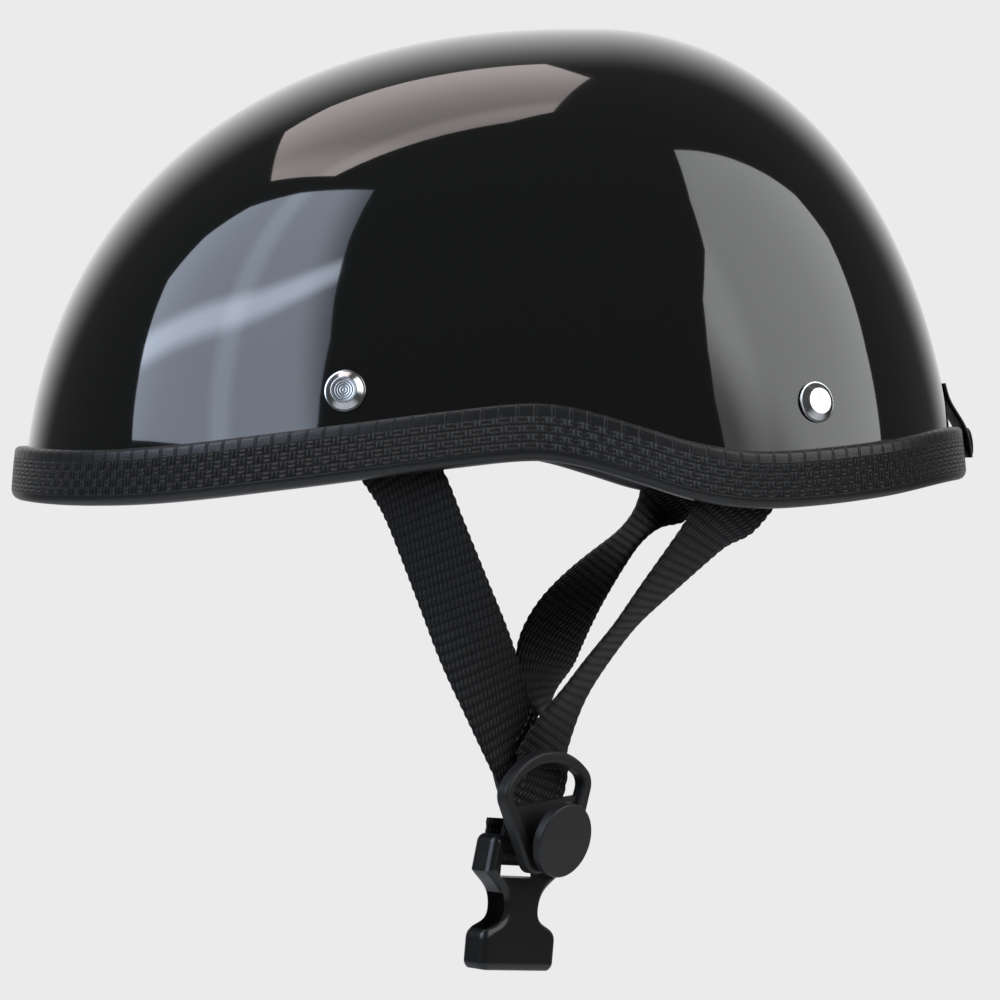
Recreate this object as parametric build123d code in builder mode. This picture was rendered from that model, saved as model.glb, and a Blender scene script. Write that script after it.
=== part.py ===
from build123d import *
import os
from math import cos, radians, sin

os.makedirs("parts", exist_ok=True)

# Half shell motorcycle helmet. The wearer faces +X and +Y is the wearer's left.
# The origin is in the middle of the head opening, at the lowest level of the edge trim.

# Dome, from its centre to the shell's outer surface
front_reach = 168.0
rear_reach = 108.0
half_width = 106.0
dome_height = 152.0
shell_wall = 3.5
rim_low = 11.5

# Roundness of the dome's plan, side view and cross-section: 2 is an ellipse
front_plan_power = 2.45
rear_plan_power = 2.1
front_side_power = 2.3
rear_side_power = 2.1
section_power = 2.15

# Rim line in side view, as shares of the half length and of the ear arch's rise
arch_rise = 13.0
rim_shares = [
    (-1.16, 0.80), (-0.91, 0.48), (-0.76, 0.22), (-0.59, 0.04), (-0.48, 0.02), (-0.37, 0.20),
    (-0.26, 0.55), (-0.15, 0.88), (-0.06, 1.00), (0.09, 0.86), (0.43, 0.40), (0.68, 0.10),
    (0.85, 0.03), (1.16, 0.14),
]

# Edge trim, a U channel of moulded rubber over the shell's edge
trim_height = 15.5
trim_out = 3.6
trim_leg = 1.2
trim_foot = 3.2
trim_round = 3.0
trim_lip_round = 1.4
fit_gap = 0.3
trim_step_degrees = 7.5

# Foam liner and comfort pads
liner_wall = 10.0
liner_lift = 5.0
pad_wall = 6.5
pad_round = 2.2
pad_corner = 14.0
crown_pad_length = 118.0
crown_pad_width = 92.0
brow_pad_width = 116.0
nape_pad_width = 100.0
band_pad_height = 36.0
side_pad_length = 88.0
side_pad_height = 38.0
pad_lift = 9.0

# Webbing of the harness, and where its four tabs are riveted and leave the rim
webbing_width = 20.0
webbing = 1.5
ply_gap = 0.75
front_rivet_x = 42.2
front_rivet_z = 31.8
rear_rivet_x = -86.0
rear_rivet_z = 29.0
front_exit_x = 24.2
rear_exit_x = -58.7
tab_past_rivet = 11.0
tab_step = 1.5
step_gap = 1.0
exit_drop = 4.0
groove_gap = 1.2

# Shell rivets
rivet_flange = 11.4
rivet_top = 7.6
rivet_rise = 2.0
rivet_edge = 0.5
rivet_dimple = 3.4
rivet_dimple_depth = 0.4
rivet_shank = 4.0
rivet_tail = 7.0
rivet_tail_length = 1.2
washer_size = 9.6
washer = 1.0
pocket_size = 15.0
pocket_depth = 10.5

# Strap ring and its round button, in the ring's own plane
ring_x = -12.0
ring_z = -81.5
ring_width = 35.5
ring_height = 32.6
ring_foot_width = 17.0
ring_thickness = 3.6
ring_bar = 3.3
ring_bar_round = 1.0
ring_lean = 3.0
seam_share = 0.43
button_size = 20.5
button = 3.0
button_drop = 7.2
button_tilt = 11.0
button_round = 0.6
stud_size = 3.0
stud_boss = 9.0
back_washer_size = 5.2
back_washer = 0.8

# Side-release buckle, measured from the centre of its webbing bar
buckle_width = 28.5
buckle_height = 36.7
buckle_thickness = 8.6
buckle_wall = 1.2
buckle_shoulder = 1.6
buckle_gap = 1.7
buckle_round = 2.3
buckle_waist = 13.6
buckle_shoulder_share = 0.143
buckle_waist_share = 0.41
buckle_hip_share = 0.64
buckle_lean = 7.0
buckle_drop = 12.0
bar_height = 3.6
bar_thickness = 3.2
bar_round = 1.2
bar_cover = 0.4
slot_height = 5.1
slot_play = 0.4
mouth_depth = 21.0
loop_tail = {"left": 14.0, "right": 22.0}
strap_ways = {"front": Vector(-0.366, 0, -0.93), "rear": Vector(0.62, 0, -0.785)}

# Plug of the buckle, with its two springy prongs
plug_height = 14.5
plug_thickness = 7.0
guide_width = 7.0
guide_length = 17.0
guide_thickness = 3.4
prong_width = 3.0
prong_length = 19.0
prong_thickness = 4.2
prong_head = 6.0
prong_play = 0.4

# How far each side's ring and buckle are turned about the vertical, and their set inwards
left_turn = 44.0
right_turn = -80.0

# Goggle strap at the back, with its snap
goggle_width = 20.0
goggle_strap_thickness = 1.3
goggle_top = 35.5
goggle_low = 13.5
goggle_hinge = 30.5
goggle_stand_off = 1.5
goggle_lip_gap = 0.9
snap_height = 17.5
snap_cap = 9.0
snap_cap_rise = 0.7
snap_cup_bore = 5.0
snap_knob = 4.0
snap_post = 2.6
goggle_rivet = 4.6
goggle_rivet_rise = 0.7

# Places that follow from the sizes above
half_length = (front_reach + rear_reach) / 2
dome_x = (rear_reach - front_reach) / 2
dome_z = -rim_low
overrun = half_width
probe = shell_wall / 100
slot_inner = shell_wall + fit_gap
trim_inner = slot_inner + trim_leg
tab_upper = slot_inner
tab_lower = trim_inner + fit_gap
liner_inner = slot_inner + liner_wall
pad_outer = liner_inner + fit_gap
pad_inner = pad_outer + pad_wall


def dome_value(point, inset=0.0):
    """Below one inside the dome surface drawn in by inset, above one outside it."""
    across = abs(point.Y) / (half_width - inset)
    if across >= 1:
        return 1 + across
    along = point.X - dome_x
    reach, plan, side = front_reach, front_plan_power, front_side_power
    if along < 0:
        reach, plan, side = rear_reach, rear_plan_power, rear_side_power
    spread = (reach - inset) * (1 - across**plan) ** (1 / plan)
    rise = (dome_height - inset) * (1 - across**section_power) ** (1 / section_power)
    above = max(point.Z - dome_z, 0)
    return (abs(along) / spread) ** side + (above / rise) ** side


def dome_hit(start, direction, inset=0.0):
    """Point where a ray from inside the dome meets its surface."""
    near, far = 0.0, front_reach + half_width
    for _ in range(40):
        middle = (near + far) / 2
        if dome_value(start + direction * middle, inset) < 1:
            near = middle
        else:
            far = middle
    return start + direction * near


def dome_plane(point):
    """Plane on the dome surface at a point, its Z axis pointing out of the shell."""
    steps = [Vector(probe, 0, 0), Vector(0, probe, 0), Vector(0, 0, probe)]
    slopes = [dome_value(point + step) - dome_value(point - step) for step in steps]
    return Plane(point, z_dir=Vector(*slopes).normalized())


def section_point(turn, y, inset):
    """Point of the dome's side-view section at y, turn degrees up from the front."""
    across = abs(y) / (half_width - inset)
    reach, plan, side = front_reach, front_plan_power, front_side_power
    if turn > 90:
        reach, plan, side = rear_reach, rear_plan_power, rear_side_power
    along, up = cos(radians(turn)), sin(radians(turn))
    size = (abs(along) / (reach - inset)) ** side + (up / (dome_height - inset)) ** side
    radius = size ** (-1 / side)
    spread = (1 - across**plan) ** (1 / plan)
    rise = (1 - across**section_power) ** (1 / section_power)
    return (radius * along * spread, radius * up * rise)


def dome(inset):
    """Solid inside the dome surface drawn in by inset, closed at its widest level."""
    sections, points_round, last_turn = 13, 25, 86
    with BuildPart() as body:
        for index in range(sections):
            y = (half_width - inset) * sin(radians(last_turn * (2 * index / (sections - 1) - 1)))
            turns = [180 * point / (points_round - 1) for point in range(points_round)]
            points = [section_point(turn, y, inset) for turn in turns]
            with BuildSketch(Plane((dome_x, y, dome_z), x_dir=(1, 0, 0), z_dir=(0, -1, 0))):
                with BuildLine():
                    Spline(*points, tangents=[(0, 1), (0, -1)])
                    Line(points[-1], points[0])
                make_face()
        loft()
    return body.part


def rim_line(lift=0.0):
    """Points of the rim line in side view, raised by lift."""
    return [(along * half_length, rise * arch_rise + lift) for along, rise in rim_shares]


def above_rim(lift):
    """Block that takes in everything above the rim line raised by lift."""
    points = rim_line(lift)
    top = dome_height + overrun
    with BuildPart() as block:
        with BuildSketch(Plane.XZ):
            with BuildLine():
                Spline(*points)
                Polyline(points[-1], (points[-1][0], top), (points[0][0], top), points[0])
            make_face()
        extrude(amount=half_width + overrun, both=True)
    return block.part


rim_edge = Edge.make_spline([Vector(x, 0, z) for x, z in rim_line()])


def rim_height(x):
    """Height of the rim line at x."""
    near, far = 0.0, 1.0
    for _ in range(30):
        middle = (near + far) / 2
        if rim_edge.position_at(middle).X < x:
            near = middle
        else:
            far = middle
    return rim_edge.position_at(near).Z


def above_hinge(lift):
    """Block that takes in everything above the line on which the straps swing, raised by lift."""
    front, rear = (Vector(x, 0, rim_height(x) - exit_drop) for x in (front_exit_x, rear_exit_x))
    along = (front - rear).normalized()
    with BuildPart() as block:
        with BuildSketch(Plane(rear, x_dir=along, z_dir=(0, -1, 0))):
            with Locations((0, lift)):
                Rectangle(4 * half_width, dome_height + overrun, align=(Align.CENTER, Align.MIN))
        extrude(amount=half_width + overrun, both=True)
    return block.part


def wall_point(x, z, side, inset=0.0):
    """Point of the dome's side wall, side is 1 on the left and -1 on the right."""
    return dome_hit(Vector(x, 0, z), Vector(0, side, 0), inset)


def rear_point(z, inset=0.0):
    """Point of the dome at the middle of its back."""
    return dome_hit(Vector(dome_x, 0, z), Vector(-1, 0, 0), inset)


# Shared solids of the dome's layers
outer_dome = dome(0)
inner_dome = dome(shell_wall)
slot_inner_dome = dome(slot_inner)
liner_core = dome(liner_inner)

front_rivets = {side: dome_plane(wall_point(front_rivet_x, front_rivet_z, side)) for side in (1, -1)}
rear_rivets = {side: dome_plane(wall_point(rear_rivet_x, rear_rivet_z, side)) for side in (1, -1)}
rivet_planes = list(front_rivets.values()) + list(rear_rivets.values())
goggle_rivet_z = (goggle_top + goggle_hinge) / 2
goggle_rivet_plane = dome_plane(rear_point(goggle_rivet_z))
snap_plane = dome_plane(rear_point(snap_height, -trim_out))

# Shell: a hollow dome over the rim line, drilled for its rivets
with BuildPart() as shell:
    add(outer_dome)
    add(inner_dome, mode=Mode.SUBTRACT)
    add(above_rim(trim_foot), mode=Mode.INTERSECT)
    for plane in rivet_planes:
        with Locations(plane):
            Cylinder(rivet_shank / 2 + fit_gap, pocket_depth * 2, mode=Mode.SUBTRACT)
    with Locations(goggle_rivet_plane):
        Cylinder(snap_post / 2 + fit_gap, pocket_depth * 2, mode=Mode.SUBTRACT)
shell.part.label = "shell"


def trim_corners(turn):
    """Corners of the trim's section: reach from the dome's axis, and height."""
    direction = Vector(cos(radians(turn)), sin(radians(turn)), 0)
    foot = dome_hit(Vector(dome_x, 0, 0), direction)
    low = rim_height(foot.X)
    corners = []
    for inset, height in ((-trim_out, 0), (-trim_out, trim_height), (trim_inner, trim_height), (trim_inner, 0)):
        point = dome_hit(Vector(dome_x, 0, low + height), direction, inset)
        corners.append(((point - Vector(dome_x, 0, 0)).dot(direction), low + height))
    return corners


# Edge trim: a rounded bar lofted round the left half of the rim, mirrored, with the shell's slot
with BuildPart() as trim_bar:
    for index in range(int(180 / trim_step_degrees) + 1):
        turn = index * trim_step_degrees
        direction = (cos(radians(turn)), sin(radians(turn)), 0)
        square = (sin(radians(turn)), -cos(radians(turn)), 0)
        with BuildSketch(Plane((dome_x, 0, 0), x_dir=direction, z_dir=square)):
            with BuildLine():
                FilletPolyline(
                    *trim_corners(turn), radius=[trim_round, trim_lip_round, trim_lip_round, trim_round], close=True
                )
            make_face()
    loft()
    mirror(about=Plane.XZ)
slot_block = dome(-fit_gap) - slot_inner_dome
slot_block = slot_block & above_rim(trim_foot - fit_gap)
with BuildPart() as edge_trim:
    add(trim_bar.part)
    add(slot_block, mode=Mode.SUBTRACT)
    with Locations(snap_plane):
        Cylinder(snap_post / 2 + fit_gap, 2 * trim_out, mode=Mode.SUBTRACT)
edge_trim.part.label = "edge_trim"

export_step(shell.part, "parts/shell.step")
export_step(edge_trim.part, "parts/edge_trim.step")


def tab_block(rivet_x, rivet_z, exit_x, side, margin=0.0):
    """Block over one webbing tab's outline in side view, out to its side of the helmet."""
    low = Vector(exit_x, 0, rim_height(exit_x) - exit_drop)
    along = Vector(rivet_x, 0, rivet_z) - low
    length = along.length + tab_past_rivet + webbing_width / 2 + margin
    centre = (along.length + tab_past_rivet + margin - webbing_width / 2) / 2
    with BuildPart() as block:
        with BuildSketch(Plane(low, x_dir=along.normalized(), z_dir=(0, 1, 0))):
            with Locations((centre, 0)):
                Rectangle(length, webbing_width + 2 * margin)
        extrude(amount=side * (half_width + overrun))
    return block.part


# Foam liner: stepped round the trim's inner leg, grooved for the tabs and hollowed for the rivets
tab_dome = dome(tab_lower)
groove_dome = dome(tab_lower + webbing + fit_gap)
upper_liner = slot_inner_dome & above_rim(trim_height + step_gap)
lower_liner = tab_dome & above_rim(liner_lift)
tab_lines = {"front": (front_rivet_x, front_rivet_z, front_exit_x), "rear": (rear_rivet_x, rear_rivet_z, rear_exit_x)}
with BuildPart() as foam_liner:
    add(upper_liner)
    add(lower_liner)
    add(liner_core, mode=Mode.SUBTRACT)
    for side in (1, -1):
        for line in tab_lines.values():
            add(tab_block(*line, side, groove_gap) - groove_dome, mode=Mode.SUBTRACT)
    for plane in rivet_planes:
        with Locations(plane):
            Cylinder(pocket_size / 2, 2 * pocket_depth, mode=Mode.SUBTRACT)
    with Locations(goggle_rivet_plane):
        Cylinder(rivet_tail / 2 + groove_gap, pocket_depth, mode=Mode.SUBTRACT)
foam_liner.part.label = "foam_liner"
export_step(foam_liner.part, "parts/foam_liner.step")

# Webbing tabs inside the shell: flat on it at the rivet, stepping in over the trim's inner leg
outer_strip = slot_inner_dome - tab_dome - above_rim(trim_height + step_gap)
inner_strip = tab_dome & above_rim(trim_height + step_gap + tab_step)
tab_layer = slot_inner_dome - dome(tab_lower + webbing) - outer_strip - inner_strip
tab_layer = tab_layer & above_hinge(webbing / 2 + fit_gap)
for name, line in tab_lines.items():
    with BuildPart() as left_tab:
        add(tab_layer)
        add(tab_block(*line, 1), mode=Mode.INTERSECT)
        with Locations({"front": front_rivets, "rear": rear_rivets}[name][1]):
            Cylinder(rivet_shank / 2 + fit_gap, 2 * pocket_depth, mode=Mode.SUBTRACT)
    with BuildPart() as right_tab:
        add(left_tab.part)
        mirror(about=Plane.XZ, mode=Mode.REPLACE)
    left_tab.part.label = f"{name}_strap_tab_left"
    right_tab.part.label = f"{name}_strap_tab_right"
    export_step(left_tab.part, f"parts/{name}_strap_tab_left.step")
    export_step(right_tab.part, f"parts/{name}_strap_tab_right.step")


# Comfort pads: cushions of cloth over soft foam, following the inside of the liner
pad_layer = dome(pad_outer) - dome(pad_inner)


def comfort_pad(plane, length, width, reach):
    """Rounded cushion cut from the pad layer by its outline on a plane."""
    with BuildPart() as pad:
        with BuildSketch(plane):
            RectangleRounded(length, width, pad_corner)
        extrude(amount=reach)
        add(pad_layer, mode=Mode.INTERSECT)
        inner_face = pad.faces().sort_by(lambda face: (face.center() - plane.origin).dot(plane.z_dir))[0]
        fillet(inner_face.edges(), pad_round)
    return pad


band_z = pad_lift + band_pad_height / 2 + arch_rise / 2
side_z = pad_lift + arch_rise + side_pad_height / 2
pads = {
    "crown_pad": comfort_pad(Plane((0, 0, dome_height / 2)), crown_pad_length, crown_pad_width, dome_height),
    "brow_pad": comfort_pad(
        Plane((half_length / 3, 0, band_z), x_dir=(0, 1, 0), z_dir=(1, 0, 0)), brow_pad_width, band_pad_height, overrun
    ),
    "nape_pad": comfort_pad(
        Plane((-half_length / 3, 0, band_z), x_dir=(0, 1, 0), z_dir=(-1, 0, 0)), nape_pad_width, band_pad_height, overrun
    ),
    "side_pad_left": comfort_pad(
        Plane((0, 0, side_z), x_dir=(1, 0, 0), z_dir=(0, 1, 0)), side_pad_length, side_pad_height, overrun
    ),
}
with BuildPart() as side_pad_right:
    add(pads["side_pad_left"].part)
    mirror(about=Plane.XZ, mode=Mode.REPLACE)
pads["side_pad_right"] = side_pad_right
for name, pad in pads.items():
    pad.part.label = name
    export_step(pad.part, f"parts/{name}.step")


def shell_rivet(plane):
    """Capped rivet: a bevelled flange outside the shell, a shank and a clinched tail inside."""
    washer_face = tab_upper + webbing + 2 * fit_gap
    tail_face = washer_face + washer + rivet_edge / 5
    flange, top, shank, tail = rivet_flange / 2, rivet_top / 2, rivet_shank / 2, rivet_tail / 2
    seat = rivet_edge / 5
    with BuildPart() as rivet:
        with BuildSketch(Plane.XZ):
            with BuildLine():
                Polyline(
                    (0, rivet_rise - rivet_dimple_depth), (rivet_dimple / 2, rivet_rise - rivet_dimple_depth),
                    (rivet_dimple / 2 + rivet_edge, rivet_rise), (top, rivet_rise),
                    (flange - rivet_edge, rivet_edge + seat), (flange, rivet_edge + seat), (flange, seat),
                    (shank, seat), (shank, -tail_face), (tail, -tail_face),
                    (tail - rivet_edge, -tail_face - rivet_tail_length), (0, -tail_face - rivet_tail_length),
                    close=True,
                )
            make_face()
        revolve(axis=Axis.Z)
    return rivet.part.moved(plane.location)


def flat_washer(size, bore, thickness):
    """Plain round washer, its outer face at the level of its plane."""
    with BuildPart() as ring:
        with BuildSketch():
            Circle(size / 2)
            Circle(bore / 2, mode=Mode.SUBTRACT)
        extrude(amount=-thickness)
    return ring.part


for end, planes in (("front", front_rivets), ("rear", rear_rivets)):
    for side, hand in ((1, "left"), (-1, "right")):
        rivet = shell_rivet(planes[side])
        rivet.label = f"{end}_rivet_{hand}"
        export_step(rivet, f"parts/{end}_rivet_{hand}.step")
        inside = planes[side].offset(-tab_upper - webbing - 2 * fit_gap)
        rivet_washer = flat_washer(washer_size, rivet_shank + fit_gap, washer).moved(inside.location)
        rivet_washer.label = f"{end}_rivet_washer_{hand}"
        export_step(rivet_washer, f"parts/{end}_rivet_washer_{hand}.step")


# Goggle strap at the back: a fixed tab under its rivet, and a flap down over the trim with a snap
def goggle_point(z, stand_off):
    """Point in side view on the strap's middle line, standing off the shell at height z."""
    point = rear_point(z, -stand_off - goggle_strap_thickness / 2)
    return (point.X, point.Z)


def goggle_piece(points):
    """Length of the goggle strap through the points of its middle line."""
    with BuildPart() as piece:
        with BuildSketch(Plane.XZ):
            with BuildLine():
                Spline(*points)
            trace(line_width=goggle_strap_thickness)
        extrude(amount=goggle_width / 2, both=True)
    return piece


trim_face = trim_out + goggle_stand_off
trim_top = rim_height(-half_length) + trim_height
with BuildPart() as goggle_strap_tab:
    add(goggle_piece([goggle_point(goggle_top, fit_gap), goggle_point(goggle_hinge + fit_gap, 2 * fit_gap)]).part)
    with Locations(goggle_rivet_plane):
        Cylinder(snap_post / 2 + fit_gap, pocket_depth, mode=Mode.SUBTRACT)
with BuildPart() as goggle_strap:
    add(
        goggle_piece(
            [
                goggle_point(goggle_hinge - fit_gap, 2 * fit_gap),
                goggle_point(trim_top, trim_out + goggle_lip_gap),
                goggle_point(snap_height, trim_face),
                goggle_point(goggle_low, trim_face),
            ]
        ).part
    )
    with Locations(snap_plane):
        Cylinder(snap_post / 2 + fit_gap, pocket_depth, mode=Mode.SUBTRACT)
goggle_strap_tab.part.label = "goggle_strap_tab"
goggle_strap.part.label = "goggle_strap"
export_step(goggle_strap_tab.part, "parts/goggle_strap_tab.step")
export_step(goggle_strap.part, "parts/goggle_strap.step")

# Goggle strap's rivet, snap cap with its cup, and the snap stud on the trim
def turned(plane, profile):
    """Turned piece from its half profile of radii and heights over a plane."""
    with BuildPart() as piece:
        with BuildSketch(Plane.XZ):
            with BuildLine():
                Polyline(*profile, close=True)
            make_face()
        revolve(axis=Axis.Z)
    return piece.part.moved(plane.location)


tab_face = 2 * fit_gap + goggle_strap_thickness
tail_level = -shell_wall - 2 * fit_gap
cap_face = goggle_stand_off + goggle_strap_thickness + 2 * fit_gap
cup_face = goggle_stand_off - fit_gap
cup_low = fit_gap
fasteners = {
    "goggle_strap_rivet": turned(
        goggle_rivet_plane,
        [
            (0, tab_face + goggle_rivet_rise), (goggle_rivet / 2 - goggle_rivet_rise, tab_face + goggle_rivet_rise),
            (goggle_rivet / 2, tab_face + fit_gap), (goggle_rivet / 2, tab_face), (snap_post / 2, tab_face),
            (snap_post / 2, tail_level), (goggle_rivet / 2, tail_level),
            (goggle_rivet / 2, tail_level - goggle_rivet_rise), (0, tail_level - goggle_rivet_rise),
        ],
    ),
    "goggle_snap_cap": turned(
        snap_plane,
        [
            (0, cap_face + snap_cap_rise), (snap_cap / 2 - snap_cap_rise, cap_face + snap_cap_rise),
            (snap_cap / 2, cap_face + fit_gap), (snap_cap / 2, cap_face), (snap_post / 2, cap_face),
            (snap_post / 2, cup_face), (snap_cup_bore / 2 + 3 * fit_gap, cup_face),
            (snap_cup_bore / 2 + 3 * fit_gap, cup_low), (snap_cup_bore / 2, cup_low),
            (snap_cup_bore / 2, cup_face - fit_gap), (0, cup_face - fit_gap),
        ],
    ),
    "goggle_snap_stud": turned(
        snap_plane,
        [
            (0, cup_face - 1.5 * fit_gap), (snap_knob / 2, cup_face - 1.5 * fit_gap), (snap_knob / 2, fit_gap),
            (snap_post / 2, fit_gap), (snap_post / 2, fit_gap - trim_out), (0, fit_gap - trim_out),
        ],
    ),
}
for name, fastener in fasteners.items():
    fastener.label = name
    export_step(fastener, f"parts/{name}.step")


# Harness of one side: two straps, the strap ring with its button, and the webbing loop of the buckle
buckle_level = -(ring_thickness / 2 + buckle_gap + buckle_thickness / 2)
leg_level = bar_thickness / 2 + bar_cover + webbing / 2
boss_level = buckle_level + leg_level + webbing / 2 + fit_gap


def at(plane, across, up, out):
    """Point from its place across, up and out of a plane."""
    return plane.origin + plane.x_dir * across + plane.y_dir * up + plane.z_dir * out


def tipped(plane, turn):
    """Plane turned about its own normal."""
    across = plane.x_dir * cos(radians(turn)) + plane.y_dir * sin(radians(turn))
    return Plane(plane.origin, x_dir=across, z_dir=plane.z_dir)


def exit_point(x, side):
    """Middle of the webbing where it leaves the rim."""
    return wall_point(x, rim_height(x) - exit_drop, side, tab_lower + webbing / 2)


def strap(start, start_way, start_across, end, end_way, end_across, stations=7):
    """Flat webbing along a smooth line, turning to its last width direction from the second station on."""
    reach = (end - start).length / 3
    poles = [start, start + start_way * reach, end - end_way * reach, end]
    with BuildPart() as ribbon:
        for index in range(stations):
            share = index / (stations - 1)
            rest = 1 - share
            point = poles[0] * rest**3 + poles[1] * 3 * rest**2 * share
            point = point + poles[2] * 3 * rest * share**2 + poles[3] * share**3
            way = (poles[1] - poles[0]) * rest**2 + (poles[2] - poles[1]) * 2 * rest * share
            way = (way + (poles[3] - poles[2]) * share**2).normalized()
            turned_share = max(0, (share * (stations - 1) - 1) / (stations - 2))
            across = start_across * (1 - turned_share) + end_across * turned_share
            across = (across - way * across.dot(way)).normalized()
            with BuildSketch(Plane(point, x_dir=across, z_dir=way)):
                Rectangle(webbing_width, webbing)
        loft()
    return ribbon


def ring_outline(inset):
    """Rounded triangle of the strap ring, drawn in by inset."""
    top, low = ring_height / 2 - inset, -ring_height / 2 + inset
    wide, foot = ring_width / 2 - inset, ring_foot_width / 2 - inset
    corner = ring_height / 5
    with BuildSketch() as outline:
        with BuildLine():
            Polyline((-foot, low), (foot, low), (wide, corner))
            ThreePointArc((wide, corner), (0, top), (-wide, corner))
            Line((-wide, corner), (-foot, low))
        make_face()
        fillet(outline.vertices().group_by(Axis.Y)[0], ring_foot_width / 4)
        fillet(outline.vertices().group_by(Axis.Y)[-1], ring_height / 6 - inset / 2)
    return outline.sketch


def strap_ring(plane):
    """Moulded ring: a bar round an open window, a thinner web under the button and its boss."""
    with BuildPart() as ring:
        with BuildSketch():
            add(ring_outline(0))
            add(ring_outline(ring_bar), mode=Mode.SUBTRACT)
        extrude(amount=ring_thickness / 2, both=True)
        fillet(ring.edges().filter_by(GeomType.LINE, reverse=True).group_by(Axis.Z)[-1], ring_bar_round)
        with BuildSketch(Plane.XY.offset(-ring_thickness / 2)):
            add(ring_outline(ring_bar / 2))
            with Locations((0, button_size / 8)):
                Rectangle(ring_width, ring_height, align=(Align.CENTER, Align.MIN), mode=Mode.SUBTRACT)
        extrude(amount=ring_thickness / 2)
        with BuildSketch(Plane.XY.offset(boss_level)):
            with Locations((0, -button_drop)):
                Circle(stud_boss / 2)
        extrude(amount=-ring_thickness / 2 - boss_level)
        with Locations((0, -button_drop)):
            Cylinder(stud_size / 2 + fit_gap / 2, buckle_thickness, mode=Mode.SUBTRACT)
    return ring.part.moved(plane.location)


def ring_button(plane):
    """Round button on the ring's foot, tipped downwards on its stud."""
    seat = ring_thickness / 2 + fit_gap + button_size / 2 * sin(radians(button_tilt))
    face = Plane((0, -button_drop, seat), x_dir=(1, 0, 0)).rotated((button_tilt, 0, 0))
    with BuildPart() as knob:
        with BuildSketch(face):
            Circle(button_size / 2)
        extrude(amount=button)
        fillet(knob.edges(), button_round)
        with BuildSketch(Plane((0, -button_drop, seat + button / 2))):
            Circle(stud_size / 2)
        extrude(amount=buckle_level + leg_level - webbing / 2 - 2 * fit_gap - back_washer - seat - button / 2)
    return knob.part.moved(plane.location)


def webbing_loop(plane, front_top, back_top):
    """Webbing round the buckle's bar: a leg up its front, a bend under it and a leg up its back."""
    outer, inner = leg_level + webbing / 2, leg_level - webbing / 2
    with BuildPart() as loop:
        with BuildSketch(Plane.YZ.offset(-webbing_width / 2)):
            with BuildLine():
                Line((front_top, outer), (0, outer))
                ThreePointArc((0, outer), (-outer, 0), (0, -outer))
                Polyline((0, -outer), (back_top, -outer), (back_top, -inner), (0, -inner))
                ThreePointArc((0, -inner), (-inner, 0), (0, inner))
                Polyline((0, inner), (front_top, inner), (front_top, outer))
            make_face()
        extrude(amount=webbing_width)
    return loop.part.moved(plane.location)


def buckle_socket(plane):
    """Female half of the side-release buckle, mouth down, with its scooped side windows."""
    half, top = buckle_width / 2, bar_height / 2 + slot_play + leg_level
    low = top - buckle_height
    shoulder = -buckle_height * buckle_shoulder_share
    waist, hip = -buckle_height * buckle_waist_share, -buckle_height * buckle_hip_share
    slot = webbing_width / 2 + slot_play
    floor = -bar_height / 2 - slot_height + bar_cover
    with BuildPart() as socket:
        with BuildSketch() as outline:
            with BuildLine():
                Polyline((-half + buckle_shoulder, top), (half - buckle_shoulder, top), (half, shoulder))
                Spline((half, shoulder), (buckle_waist / 2, waist), tangents=[(-1, -1), (0, -1)])
                Spline((buckle_waist / 2, waist), (half, hip), tangents=[(0, -1), (0, -1)])
                Polyline((half, hip), (half, low), (-half, low), (-half, hip))
                Spline((-half, hip), (-buckle_waist / 2, waist), tangents=[(0, 1), (0, 1)])
                Spline((-buckle_waist / 2, waist), (-half, shoulder), tangents=[(0, 1), (-1, 1)])
                Line((-half, shoulder), (-half + buckle_shoulder, top))
            make_face()
            fillet(outline.vertices().group_by(Axis.Y)[0], buckle_round + fit_gap)
            fillet(outline.vertices().group_by(Axis.Y)[-1], buckle_round + fit_gap)
        extrude(amount=buckle_thickness / 2, both=True)
        sides = socket.edges().group_by(Axis.Z)
        fillet(sides[0] + sides[-1], buckle_round)
        with BuildSketch():
            with Locations((0, floor)):
                Rectangle(2 * slot, buckle_height, align=(Align.CENTER, Align.MIN))
        extrude(amount=buckle_thickness, both=True, mode=Mode.SUBTRACT)
        with BuildSketch(Plane.XZ.offset(-low)):
            RectangleRounded(
                buckle_width - 2 * buckle_wall, buckle_thickness - 2 * buckle_wall, buckle_round / 2
            )
        extrude(amount=-mouth_depth, mode=Mode.SUBTRACT)
        with BuildSketch(Plane.YZ.offset(-slot - buckle_wall / 2)):
            RectangleRounded(bar_height, bar_thickness, bar_round)
        extrude(amount=2 * slot + buckle_wall)
    return socket.part.moved(plane.location)


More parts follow.
